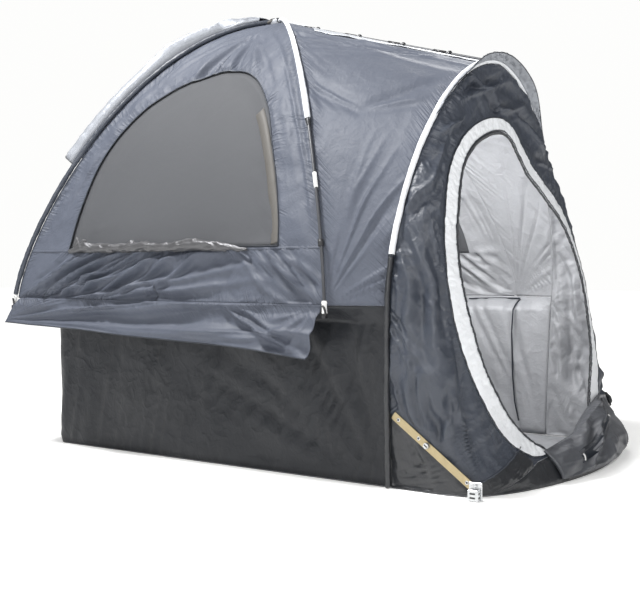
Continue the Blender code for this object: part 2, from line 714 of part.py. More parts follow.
for side, sx in (("left", -1), ("right", 1)):
    tip(side, "rear", sx, -1)
    tip(side, "front", sx, 1)

stay_w = 0.026
for side, sx in (("left", -1), ("right", 1)):
    top_y, top_z = 0.000, 0.240
    low_y, low_z = -0.278, 0.036
    run = np.array([low_y - top_y, low_z - top_z])
    run /= np.linalg.norm(run)
    across = np.array([-run[1], run[0]]) * stay_w / 2
    ends = []
    for y, z in ((top_y, top_z), (low_y, low_z)):
        for lift in (0.0007, 0.0037):
            for s in ((1, -1) if lift < 0.002 else (-1, 1)):
                yy, zz = y + across[0] * s, z + across[1] * s
                ends.append((sx * (arch_half(zz) + lift), yy, zz))
    box(f"stay_{side}", ends[:4], ends[4:], GOLD, 0.4, 0.9)
    mid_y, mid_z = -0.120, 0.152
    stud = bpy.data.meshes.new("stud")
    work = bmesh.new()
    bmesh.ops.create_cone(work, cap_ends=True, segments=24, radius1=0.011, radius2=0.009, depth=0.007)
    for v in work.verts:
        x, y, z = v.co
        v.co = Vector((sx * (arch_half(mid_z) + 0.0048 + 0.0035 + z), mid_y + x, mid_z + y))
    bmesh.ops.recalc_face_normals(work, faces=work.faces)
    work.to_mesh(stud)
    work.free()
    link(f"stay_stud_{side}", stud, METAL, 0.35, 0.9)
    x0, x1 = arch_half(0.056) + 0.0043, arch_half(0.056) + 0.030
    a = [(sx * x0, -0.312, 0.0), (sx * x1, -0.312, 0.0), (sx * x1, -0.268, 0.0), (sx * x0, -0.268, 0.0)]
    b = [(px, py, 0.056) for px, py, _ in a]
    box(f"corner_fitting_{side}", a, b, METAL, 0.35, 0.9)

# Origin at the middle of the floor of the whole object.

bpy.context.view_layer.update()
graph = bpy.context.evaluated_depsgraph_get()
lows, highs = [], []
for made in bpy.context.scene.collection.objects:
    shape = made.evaluated_get(graph).to_mesh()
    ys = [(made.matrix_world @ v.co).y for v in shape.vertices]
    lows.append(min(ys))
    highs.append(max(ys))
shift = -(min(lows) + max(highs)) / 2
print("middle moved by", round(shift, 4))
for made in list(bpy.context.scene.collection.objects) + list(cutters.objects):
    if made.type == "MESH":
        for v in made.data.vertices:
            v.co.y += shift
    else:
        for line in made.data.splines:
            for p in line.points:
                p.co.y += shift
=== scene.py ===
"""Looks of the truck bed tent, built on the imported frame. Metres, +Z up, the doorway faces -Y.

Shapes are worked out in the construction frame, whose Y runs from the arch to the cab, and SHIFT moves them
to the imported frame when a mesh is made.
"""

import math

import bmesh
import bpy
import numpy as np
from mathutils import Matrix, Vector


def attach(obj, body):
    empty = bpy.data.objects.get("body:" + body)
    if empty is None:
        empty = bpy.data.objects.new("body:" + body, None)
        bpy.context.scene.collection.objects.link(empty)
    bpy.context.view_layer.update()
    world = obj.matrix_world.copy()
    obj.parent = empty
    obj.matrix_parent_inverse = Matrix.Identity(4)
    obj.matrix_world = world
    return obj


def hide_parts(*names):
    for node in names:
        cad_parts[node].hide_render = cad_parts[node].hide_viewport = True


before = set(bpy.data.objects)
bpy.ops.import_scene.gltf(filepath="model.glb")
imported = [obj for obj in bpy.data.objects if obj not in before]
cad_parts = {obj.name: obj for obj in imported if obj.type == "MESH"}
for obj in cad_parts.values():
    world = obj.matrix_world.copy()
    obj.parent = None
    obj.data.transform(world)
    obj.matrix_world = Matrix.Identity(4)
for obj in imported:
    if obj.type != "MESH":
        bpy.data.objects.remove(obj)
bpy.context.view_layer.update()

SHIFT = -0.6447
TUB_HALF_W = 0.645
DOME_HALF_W = 0.750
RAIL_Z = 0.590
DOME_REAR_Y = 0.200
DOME_FRONT_Y = 1.715
DOME_Y = (DOME_REAR_Y + DOME_FRONT_Y) / 2
DOME_HALF_L = (DOME_FRONT_Y - DOME_REAR_Y) / 2
APEX_Z = 1.735
ARCH_Z = 1.455
ARCH_HALF_W = 0.675
ARCH_SPRING_Z = 0.620
TAIL_D = 0.300
TAIL_TOP_Z = 1.420
SILL_BULGE = 0.140
SILL_Z = 0.088
TUB_FRONT_Y = 1.615
FLARE = 0.100
HUB_R = 0.035
POLE_R = 0.0055
SLEEVE_R = 0.0120
FRONT_SLEEVE_R = 0.0102
ARCH_SLEEVE_R = 0.0100
SLEEVE_END_Z = 1.215
ARCH_SLEEVE_END_Z = 0.745
EAVE_D = 0.034
EAVE_FLARE = 0.022
VISOR_RISE = 0.056
WINDOW_BOTTOM_Z = 0.786
CLOTH_T = 0.0016
CORNER_R = 0.06

CAMERA_AT = (-3.517, -1.693, 0.7065)
CAMERA_YAW = math.radians(55.302)
CAMERA_PITCH = math.radians(-1.686)
FOCAL_PX = 1037.07
FRAME_W_PX = 640
SENSOR_MM = 36


# Camera, light and floor


def set_camera():
    data = bpy.data.cameras.new("camera")
    data.lens = FOCAL_PX / FRAME_W_PX * SENSOR_MM
    data.sensor_width = SENSOR_MM
    data.clip_start = 0.05
    level = math.cos(CAMERA_PITCH)
    look = Vector((math.sin(CAMERA_YAW) * level, math.cos(CAMERA_YAW) * level, math.sin(CAMERA_PITCH)))
    made = bpy.data.objects.new("camera", data)
    x, y, z = CAMERA_AT
    made.matrix_world = Matrix.Translation((x, y + SHIFT, z)) @ look.to_track_quat("-Z", "Y").to_matrix().to_4x4()
    bpy.context.collection.objects.link(made)
    bpy.context.scene.camera = made


def area_light(name, at, aim, size, power):
    data = bpy.data.lights.new(name, "AREA")
    data.size = size
    data.energy = power
    lamp = bpy.data.objects.new(name, data)
    turn = (Vector(aim) - Vector(at)).to_track_quat("-Z", "Y").to_matrix().to_4x4()
    lamp.matrix_world = Matrix.Translation(at) @ turn
    lamp.visible_camera = False
    bpy.context.collection.objects.link(lamp)


def set_studio():
    scene = bpy.context.scene
    scene.view_settings.view_transform = "Standard"
    area_light("key", (-1.9, 1.5, 4.9), (-0.3, 0.1, 0.9), 0.8, 350)
    area_light("side", (-4.6, -1.2, 2.2), (0.0, 0.2, 0.6), 1.6, 74)
    area_light("front", (-1.6, -3.8, 3.4), (0.0, -0.4, 0.8), 1.0, 70)
    area_light("back", (2.9, 0.6, 4.2), (0.0, 0.2, 0.9), 1.6, 70)
    area_light("inside", (0.0, -0.30, 1.20), (0.35, -0.50, 0.2), 0.5, 15)
    world = bpy.data.worlds.new("world")
    scene.world = world
    world.use_nodes = True
    shade = world.node_tree.nodes["Background"]
    shade.inputs["Color"].default_value = (1.0, 1.0, 0.995, 1)
    shade.inputs["Strength"].default_value = 0.22
    far = world.node_tree.nodes.new("ShaderNodeBackground")
    far.inputs["Color"].default_value = (0.985, 0.985, 0.975, 1)
    path = world.node_tree.nodes.new("ShaderNodeLightPath")
    mix = world.node_tree.nodes.new("ShaderNodeMixShader")
    links = world.node_tree.links
    links.new(path.outputs["Is Camera Ray"], mix.inputs[0])
    links.new(shade.outputs[0], mix.inputs[1])
    links.new(far.outputs[0], mix.inputs[2])
    links.new(mix.outputs[0], world.node_tree.nodes["World Output"].inputs["Surface"])
    mesh = bpy.data.meshes.new("ground")
    half = 30
    corners = [(-half, -half, -0.001), (half, -half, -0.001), (half, half, -0.001), (-half, half, -0.001)]
    mesh.from_pydata(corners, [], [(0, 1, 2, 3)])
    ground = bpy.data.objects.new("ground", mesh)
    bpy.context.collection.objects.link(ground)
    pale = bpy.data.materials.new("ground")
    pale.use_nodes = True
    shader = pale.node_tree.nodes["Principled BSDF"]
    shader.inputs["Base Color"].default_value = (0.93, 0.93, 0.92, 1)
    shader.inputs["Roughness"].default_value = 0.9
    shader.inputs["Emission Color"].default_value = (1.0, 1.0, 0.99, 1)
    tree = pale.node_tree
    place = tree.nodes.new("ShaderNodeTexCoord")
    far_off = tree.nodes.new("ShaderNodeVectorMath")
    far_off.operation = "LENGTH"
    glow = tree.nodes.new("ShaderNodeMapRange")
    for socket, value in zip(("From Min", "From Max", "To Min", "To Max"), (1.8, 7.0, 0.25, 0.90)):
        glow.inputs[socket].default_value = value
    tree.links.new(place.outputs["Object"], far_off.inputs[0])
    tree.links.new(far_off.outputs["Value"], glow.inputs["Value"])
    tree.links.new(glow.outputs["Result"], shader.inputs["Emission Strength"])
    mesh.materials.append(pale)


# Numbers


def smooth(lo, hi, x):
    t = np.clip((x - lo) / (hi - lo), 0, 1)
    return t * t * (3 - 2 * t)


def hashed(i, j, seed):
    n = (i * 374761393 + j * 668265263 + seed * 974634777) & 0x7FFFFFFF
    n = ((n ^ (n >> 13)) * 1274126177) & 0x7FFFFFFF
    return ((n ^ (n >> 16)) & 0xFFFF) / 32767.5 - 1


def noise(u, v=0.0, seed=0):
    """Smooth value noise from -1 to 1, with one random value for each unit step."""
    u, v = np.broadcast_arrays(np.asarray(u, float), np.asarray(v, float))
    i, j = np.floor(u).astype(np.int64), np.floor(v).astype(np.int64)
    f, g = u - i, v - j
    f, g = f * f * (3 - 2 * f), g * g * (3 - 2 * g)
    low = hashed(i, j, seed) * (1 - f) + hashed(i + 1, j, seed) * f
    high = hashed(i, j + 1, seed) * (1 - f) + hashed(i + 1, j + 1, seed) * f
    return low * (1 - g) + high * g


def fbm(u, v, seed, octaves=3):
    total = 0
    for n in range(octaves):
        total = total + noise(u * 2**n, v * 2**n, seed + 17 * n) / 2**n
    return total


def crest(n, sharp=1.5):
    """Ridges from -0.5 to 0.5 with a sharp back wherever the noise is zero."""
    return (1 - np.abs(n)) ** sharp - 0.5


def unit(v):
    return v / np.maximum(np.linalg.norm(v, axis=-1, keepdims=True), 1e-12)


# Folds. Each takes points of a panel as metres across and up, and gives a height off the panel in metres.


def fan(p, origin, start, end, folds, reach, depth, seed, inner=0.03, sharp=1.5):
    """Pull folds that spread from one point between two directions in degrees."""
    d = p - np.array(origin)
    r = np.hypot(d[..., 0], d[..., 1])
    turn = np.degrees(np.arctan2(d[..., 1], d[..., 0]))
    mid = (start + end) / 2
    turn = (turn - mid + 180) % 360 - 180
    half = (end - start) / 2
    share = turn / half
    line = noise((share * 0.5 + 0.5) * folds + 0.25 * noise(r / 0.18, 0, seed + 5), r / (reach * 1.2), seed)
    inside = smooth(1.0, 0.72, np.abs(share)) * smooth(inner * 0.3, inner * 2, r) * smooth(reach, reach * 0.35, r)
    size = np.minimum(r * np.radians(half * 2) / folds / 0.03, 1)
    return depth * crest(line, sharp) * inside * size


def bundle(p, a, b, wide, folds, depth, seed, sharp=1.5):
    """Roughly parallel folds along the line from a to b, over a band this wide."""
    a, b = np.array(a, float), np.array(b, float)
    run = b - a
    length = np.hypot(*run)
    run /= length
    d = p - a
    along = d[..., 0] * run[0] + d[..., 1] * run[1]
    across = -d[..., 0] * run[1] + d[..., 1] * run[0]
    across = across + 0.012 * noise(along / 0.12, 0, seed + 3)
    line = noise(across / wide * folds, along / (length * 0.8), seed)
    inside = smooth(wide / 2, wide * 0.28, np.abs(across))
    inside = inside * smooth(-0.04, length * 0.25, along) * smooth(length + 0.04, length * 0.75, along)
    return depth * crest(line, sharp) * inside


def groove(p, a, b, wide, depth, seed=0):
    """One fold along the line from a to b: a crest beside a valley."""
    a, b = np.array(a, float), np.array(b, float)
    run = b - a
    length = np.hypot(*run)
    run /= length
    d = p - a
    along = (d[..., 0] * run[0] + d[..., 1] * run[1]) / length
    across = (-d[..., 0] * run[1] + d[..., 1] * run[0]) / wide
    across = across + 0.35 * noise(along * 3.5, 0, seed + 9)
    inside = smooth(-0.05, 0.3, along) * smooth(1.05, 0.7, along)
    return depth * inside * (1.6 / (1 + (2.2 * across) ** 2) ** 1.5 - 1.0 * np.exp(-((across - 0.9) ** 2) * 1.2))


def gathers(gap, along, pitch, decay, depth, seed, lean=0.0, sharp=1.3):
    """Short folds square to a seam, this far from it."""
    line = noise((along + lean * gap) / pitch, gap / (decay * 2.5), seed)
    vary = 0.6 + 0.4 * noise(along / (pitch * 5), 0.5, seed + 8)
    fade = np.exp(-gap / (decay * (1 + 0.45 * noise(along / (pitch * 1.7), 3.3, seed + 4))))
    rise = smooth(0, 0.006, gap)
    return depth * crest(line, sharp) * vary * fade * rise


def rumple(p, size, depth, seed, stretch=(1, 1), sharp=1.2):
    """Crumpled cloth: creases that cross in all directions."""
    u, v = p[..., 0] / size / stretch[0], p[..., 1] / size / stretch[1]
    bend_u = u + 0.6 * noise(u * 0.7, v * 0.7, seed + 31)
    bend_v = v + 0.6 * noise(u * 0.7, v * 0.7, seed + 47)
    total = crest(noise(bend_u, bend_v, seed), sharp) + 0.5 * crest(noise(bend_v * 1.9, bend_u * 2.1, seed + 2), sharp)
    return depth * total


# Base shapes. k runs from 0 at the rail to 1 at the apex.


def reach(k):
    return (1 - np.clip(k, 0, 1) ** 1.35) ** (1 / 1.8)


def dome_seam(k, sx, sy):
    r = reach(k)
    return np.stack([sx * DOME_HALF_W * r, DOME_Y + sy * DOME_HALF_L * r, RAIL_Z + k * (APEX_Z - RAIL_Z) + 0 * r], -1)


def arch_y(z):
    return 0.02 - 0.07 * (np.clip(z, 0, ARCH_Z) / ARCH_Z) ** 2


def arch_half(z):
    k = np.clip((z - ARCH_SPRING_Z) / (ARCH_Z - ARCH_SPRING_Z), 0, 1)
    straight = TUB_HALF_W + (ARCH_HALF_W - TUB_HALF_W) * z / ARCH_SPRING_Z
    return np.where(z <= ARCH_SPRING_Z, straight, ARCH_HALF_W * (1 - k**1.7) ** (1 / 1.9))


def tail_depth(z):
    return TAIL_D * (1 - np.clip(z / TAIL_TOP_Z, 0, 1) ** 1.3) + 0.012


def skin_y(x, z):
    """The door wall's Y over any point of its front view."""
    r = np.clip(np.abs(x) / np.maximum(arch_half(z), 1e-6), 0, 1)
    t = np.clip(z / 1.15, 0, 1)
    n = 8 * (1 - t) + 2.2 * t
    bulge = SILL_BULGE * np.exp(-((z / 0.12) ** 2)) * (1 - r * r)
    return arch_y(z) - tail_depth(z) * (1 - r**n) ** (1 / n) - bulge


def smooth_path(points, steps):
    """Catmull-Rom curve through the points."""
    pts = np.array(points, float)
    ends = np.vstack([2 * pts[0] - pts[1], pts, 2 * pts[-1] - pts[-2]])
    out = []
    for i in range(1, len(ends) - 2):
        p0, p1, p2, p3 = ends[i - 1 : i + 3]
        t = np.linspace(0, 1, steps, endpoint=False)[:, None]
        bend = 2 * p0 - 5 * p1 + 4 * p2 - p3
        out.append(0.5 * (2 * p1 + (p2 - p0) * t + bend * t**2 + (3 * p1 - p0 - 3 * p2 + p3) * t**3))
    return np.vstack(out + [pts[-1:]])


def lengths(path):
    return np.concatenate([[0], np.cumsum(np.linalg.norm(np.diff(path, axis=0), axis=1))])


def resampled(path, count):
    """The path again with evenly spaced points."""
    run = lengths(path)
    at = np.linspace(0, run[-1], count)
    return np.stack([np.interp(at, run, path[:, i]) for i in range(path.shape[1])], 1)


def mirror(p):
    return p * np.array([-1, 1, 1])


def facing_out(points, towards):
    """Unit normals of a grid of points, all on one side, the one that fits the direction best."""
    n = unit(np.cross(np.gradient(points, axis=0), np.gradient(points, axis=1)))
    return n * np.sign(np.sum(n * towards))


def around(points, towards):
    """Unit normals of a grid of points, on the side of the direction given."""
    n = unit(np.cross(np.gradient(points, axis=0), np.gradient(points, axis=1)))
    n[np.sum(n * towards, axis=-1) < 0] *= -1
    return n


# Meshes


def calmed(normals, times):
    """Normals averaged with their neighbours, so that deep folds don't cross at a tight bend."""
    for _ in range(times):
        normals = unit(normals * 2 + np.roll(normals, 1, 1) + np.roll(normals, -1, 1))
        inner = normals[1:-1] * 2 + normals[2:] + normals[:-2]
        normals = np.concatenate([normals[:1], unit(inner), normals[-1:]])
    return normals


def add_mesh(name, points, quads, mats, which=None, uv=None, seams=()):
    mesh = bpy.data.meshes.new(name)
    moved = np.array(points, float).reshape(-1, 3) + np.array([0, SHIFT, 0])
    mesh.from_pydata(moved.tolist(), [], quads.tolist() if hasattr(quads, "tolist") else quads)
    for mat in mats:
        mesh.materials.append(mat)
    if which is not None:
        mesh.polygons.foreach_set("material_index", np.asarray(which, np.int32))
    if uv is not None:
        loops = np.empty(len(mesh.loops), np.int32)
        mesh.loops.foreach_get("vertex_index", loops)
        for title, coords in zip(("flat", "inner", "outer"), (uv, *seams)):
            layer = mesh.uv_layers.new(name=title)
            layer.data.foreach_set("uv", np.asarray(coords, float).reshape(-1, 2)[loops].ravel())
    mesh.shade_smooth()
    made = bpy.data.objects.new(name, mesh)
    bpy.context.collection.objects.link(made)
    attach(made, "root")
    return made


def quads_of(rows, cols, wrap=False, first=0):
    idx = np.arange(rows * cols).reshape(rows, cols) + first
    right = np.roll(idx, -1, axis=1) if wrap else idx[:, 1:]
    left = idx if wrap else idx[:, :-1]
    return np.stack([left[:-1], right[:-1], right[1:], left[1:]], -1).reshape(-1, 4)


def slab(name, front, back, mats, uv=None, wrap=False, seams=()):
    """Closed cloth between two grids of points. mats are for its front, its back and its rim.

    seams are two more layers of coordinates: metres along a seam, and metres away from it.
    """
    rows, cols = front.shape[:2]
    count = rows * cols
    face = quads_of(rows, cols, wrap)
    a, b, c = front.reshape(-1, 3)[face[:, 0]], front.reshape(-1, 3)[face[:, 1]], front.reshape(-1, 3)[face[:, 3]]
    out = np.sum(np.cross(b - a, c - a) * (a - back.reshape(-1, 3)[face[:, 0]]))
    rear = face[:, ::-1] + count
    rims = []
    idx = np.arange(count).reshape(rows, cols)
    for line, turn in ((idx[0], 1), (idx[-1], -1)):
        p, q = line, np.roll(line, -1)
        if not wrap:
            p, q = p[:-1], q[:-1]
        rim = np.stack([q, p, p + count, q + count], -1)
        rims.append(rim if turn > 0 else rim[:, ::-1])
    if not wrap:
        for line, turn in ((idx[:, 0], -1), (idx[:, -1], 1)):
            p, q = line[:-1], line[1:]
            rim = np.stack([q, p, p + count, q + count], -1)
            rims.append(rim if turn > 0 else rim[:, ::-1])
    rims = np.vstack(rims)
    which = np.concatenate([np.zeros(len(face)), np.ones(len(rear)), np.full(len(rims), min(2, len(mats) - 1))])
    quads = np.vstack([face, rear[:, [3, 0, 1, 2]], rims])
    if out < 0:
        quads = quads[:, ::-1]
    triangles = np.stack([quads[:, [0, 1, 2]], quads[:, [0, 2, 3]]], 1).reshape(-1, 3)
    which = np.repeat(np.minimum(which, len(mats) - 1), 2)
    if uv is not None:
        uv = np.concatenate([uv.reshape(-1, 2)] * 2)
    seams = [np.concatenate([layer.reshape(-1, 2)] * 2) for layer in seams]
    return add_mesh(name, np.vstack([front.reshape(-1, 3), back.reshape(-1, 3)]), triangles, mats, which, uv, seams)


def tube(name, path, radius, mats, sides=14, squash=1.0, up=None, ruck=None, hollow=False):
    """A round or flattened tube along a path. ruck takes (metres along, angle) and gives extra radius."""
    path = np.array(path, float)
    tangent = unit(np.gradient(path, axis=0))
    if up is None:
        up = np.array([0.0, 0.0, 1.0]) if abs(tangent[:, 2]).mean() < 0.8 else np.array([0.0, 1.0, 0.0])
    side = unit(np.cross(tangent, up))
    top = np.cross(side, tangent)
    angle = np.linspace(0, 2 * math.pi, sides, endpoint=False)
    run = lengths(path)
    r = np.broadcast_to(np.asarray(radius, float), (len(path),))[:, None] * np.ones((1, sides))
    if ruck is not None:
        r = r + ruck(run[:, None], angle[None, :])
    c, s = np.cos(angle)[None, :, None], np.sin(angle)[None, :, None] * squash
    ring = path[:, None] + side[:, None] * c * r[..., None] + top[:, None] * s * r[..., None]
    uv = np.stack([np.broadcast_to(run[:, None], r.shape), np.broadcast_to(angle[None] * r.mean(), r.shape)], -1)
    if hollow:
        within = ring - (side[:, None] * c + top[:, None] * s) * CLOTH_T
        return slab(name, ring, within, mats, uv, True)
    quads = quads_of(len(path), sides, True).tolist()
    quads.append(list(range(sides)))
    quads.append([(len(path) - 1) * sides + i for i in range(sides)][::-1])
    made = add_mesh(name, ring, quads, mats, None, uv)
    fix_normals(made)
    return made


def fix_normals(made):
    work = bmesh.new()
    work.from_mesh(made.data)
    bmesh.ops.recalc_face_normals(work, faces=work.faces)
    work.to_mesh(made.data)
    work.free()


# Materials


def add(tree, kind, links=(), **values):
    """One node, with values for its sockets or settings and links from other nodes' outputs."""
    node = tree.nodes.new(kind)
    for key, value in values.items():
        name = key.replace("_", " ").title()
        if name in node.inputs:
            node.inputs[name].default_value = value
        else:
            setattr(node, key, value)
    for socket, output in links:
        tree.links.new(output, node.inputs[socket])
    return node


def start_material(name, colour, rough, metal=0.0):
    made = bpy.data.materials.new(name)
    made.use_nodes = True
    tree = made.node_tree
    shader = tree.nodes["Principled BSDF"]
    shader.inputs["Base Color"].default_value = (*colour, 1)
    shader.inputs["Roughness"].default_value = rough
    shader.inputs["Metallic"].default_value = metal
    return made, tree, shader


def varied(tree, shader, colour, height, low, high, rough):
    """Colour and roughness that follow a height output between two brightness limits."""
    value = add(tree, "ShaderNodeMapRange", [(0, height)], from_min=0.25, from_max=0.75, to_min=low, to_max=high)
    tint = add(tree, "ShaderNodeHueSaturation", [("Value", value.outputs[0])], color=(*colour, 1))
    tree.links.new(tint.outputs[0], shader.inputs["Base Color"])
    spread = add(tree, "ShaderNodeMapRange", [(0, height)], from_min=0.3, from_max=0.7, to_min=rough[0], to_max=rough[1])
    tree.links.new(spread.outputs[0], shader.inputs["Roughness"])


def waves(tree, uv, pitch):
    """Threads both ways at this pitch, in metres."""
    scale = 2 * math.pi / (20 * pitch)
    both = []
    for way in ("X", "Y"):
        both.append(add(tree, "ShaderNodeTexWave", [("Vector", uv)], bands_direction=way, scale=scale))
    return add(
        tree, "ShaderNodeMath", [(0, both[0].outputs["Fac"]), (1, both[1].outputs["Fac"])], operation="MULTIPLY"
    )


def creases(tree, coords, scale, distortion=0.6):
    """Thin sharp ridges where a noise crosses its middle value."""
    base = add(tree, "ShaderNodeTexNoise", [("Vector", coords)], scale=scale, detail=1.5, distortion=distortion)
    middle = add(tree, "ShaderNodeMath", [(0, base.outputs["Fac"])], operation="SUBTRACT")
    middle.inputs[1].default_value = 0.5
    away = add(tree, "ShaderNodeMath", [(0, middle.outputs[0])], operation="ABSOLUTE")
    ridge = add(tree, "ShaderNodeMapRange", [(0, away.outputs[0])], from_min=0.0, from_max=0.22, to_min=1.0, to_max=0.0)
    sharp = add(tree, "ShaderNodeMath", [(0, ridge.outputs[0])], operation="POWER")
    sharp.inputs[1].default_value = 1.8
    return sharp.outputs[0]


def cloth(name, colour, rough=(0.50, 0.64), metal=0.0, spread=0.10, pitch=0.0011, wrinkle=0.0009, size=38, thread=0.25,
          clear=1.0, through=0.0, fold=0.0030, shine=0.35, gather=0.0):
    """Woven coated fabric: threads, creases of three sizes, and a tint that drifts over the panel."""
    made, tree, shader = start_material(name, colour, rough[0], metal)
    coords = add(tree, "ShaderNodeTexCoord")
    place = coords.outputs["Object"]
    weave = waves(tree, coords.outputs["UV"], pitch)
    drift = add(tree, "ShaderNodeTexNoise", [("Vector", place)], scale=3.1, detail=5.0, roughness=0.62)
    spots = add(tree, "ShaderNodeTexNoise", [("Vector", place)], scale=5.5, detail=1.0)
    dust = add(tree, "ShaderNodeTexNoise", [("Vector", place)], scale=170.0, detail=2.0)
    mixed = add(tree, "ShaderNodeMix", [(2, drift.outputs["Fac"]), (3, dust.outputs["Fac"])])
    mixed.inputs[0].default_value = 0.35
    threads = add(tree, "ShaderNodeMix", [(2, mixed.outputs[0]), (3, weave.outputs[0])])
    threads.inputs[0].default_value = thread
    varied(tree, shader, colour, threads.outputs[0], 1 - spread, 1 + spread, rough)
    bump = add(tree, "ShaderNodeBump", [("Height", weave.outputs[0])], strength=0.35, distance=pitch * 0.16)
    for scale, distance in ((size, wrinkle * 0.5), (size * 0.42, fold * 0.25), (size * 0.17, fold * 0.45)):
        ridges = creases(tree, place, scale)
        bump = add(
            tree, "ShaderNodeBump", [("Height", ridges), ("Normal", bump.outputs[0])], strength=0.8, distance=distance
        )
    for layer, pitch_across, pitch_along, seen in (("inner", 0.020, 0.170, 0.080), ("outer", 0.026, 0.210, 0.095)):
        if not gather:
            break
        seam = add(tree, "ShaderNodeUVMap", uv_map=layer)
        stretched = add(
            tree, "ShaderNodeMapping", [("Vector", seam.outputs[0])], scale=(1 / pitch_across, 1 / pitch_along, 1.0)
        )
        ridges = creases(tree, stretched.outputs[0], 1.0, 0.35)
        away = add(tree, "ShaderNodeSeparateXYZ", [(0, seam.outputs[0])])
        near = add(
            tree, "ShaderNodeMapRange", [(0, away.outputs[1])], interpolation_type="SMOOTHSTEP",
            from_min=0.0, from_max=seen, to_min=1.0, to_max=0.0,
        )
        patchy = add(
            tree, "ShaderNodeMapRange", [(0, spots.outputs["Fac"])], from_min=0.36, from_max=0.62, to_min=0.15, to_max=1.0
        )
        shown = add(tree, "ShaderNodeMath", [(0, near.outputs[0]), (1, patchy.outputs[0])], operation="MULTIPLY")
        height = add(tree, "ShaderNodeMath", [(0, ridges), (1, shown.outputs[0])], operation="MULTIPLY")
        bump = add(
            tree, "ShaderNodeBump", [("Height", height.outputs[0]), ("Normal", bump.outputs[0])],
            strength=0.9, distance=gather,
        )
    tree.links.new(bump.outputs[0], shader.inputs["Normal"])
    shader.inputs["Specular IOR Level"].default_value = shine
    shader.inputs["Alpha"].default_value = clear
    if through:
        glow = add(tree, "ShaderNodeBsdfTranslucent", [("Normal", bump.outputs[0])], color=(*colour, 1))
        mix = add(tree, "ShaderNodeMixShader", [(1, shader.outputs[0]), (2, glow.outputs[0])])
        mix.inputs[0].default_value = through
        tree.links.new(mix.outputs[0], tree.nodes["Material Output"].inputs["Surface"])
    return made


def metal(name, colour, rough, grain, metallic=0.95):
    """Strip or rod: fine drawn lines, dull patches and small dents."""
    made, tree, shader = start_material(name, colour, rough[0], metallic)
    coords = add(tree, "ShaderNodeTexCoord")
    along = add(tree, "ShaderNodeMapping", [("Vector", coords.outputs["Object"])], scale=grain)
    lines = add(tree, "ShaderNodeTexNoise", [("Vector", along.outputs[0])], scale=60.0, detail=4.0)
    stain = add(tree, "ShaderNodeTexNoise", [("Vector", coords.outputs["Object"])], scale=22.0, detail=5.0)
    mixed = add(tree, "ShaderNodeMix", [(2, lines.outputs["Fac"]), (3, stain.outputs["Fac"])])
    mixed.inputs[0].default_value = 0.45
    varied(tree, shader, colour, mixed.outputs[0], 0.80, 1.15, rough)
    bump = add(tree, "ShaderNodeBump", [("Height", mixed.outputs[0])], strength=0.4, distance=0.0003)
    tree.links.new(bump.outputs[0], shader.inputs["Normal"])
    return made


def plastic(name, colour, rough=(0.35, 0.5)):
    """Moulded plastic with a fine grain."""
    made, tree, shader = start_material(name, colour, rough[0])
    coords = add(tree, "ShaderNodeTexCoord")
    grain = add(tree, "ShaderNodeTexNoise", [("Vector", coords.outputs["Object"])], scale=420.0, detail=3.0)
    varied(tree, shader, colour, grain.outputs["Fac"], 0.93, 1.07, rough)
    bump = add(tree, "ShaderNodeBump", [("Height", grain.outputs["Fac"])], strength=0.3, distance=0.0002)
    tree.links.new(bump.outputs[0], shader.inputs["Normal"])
    return made


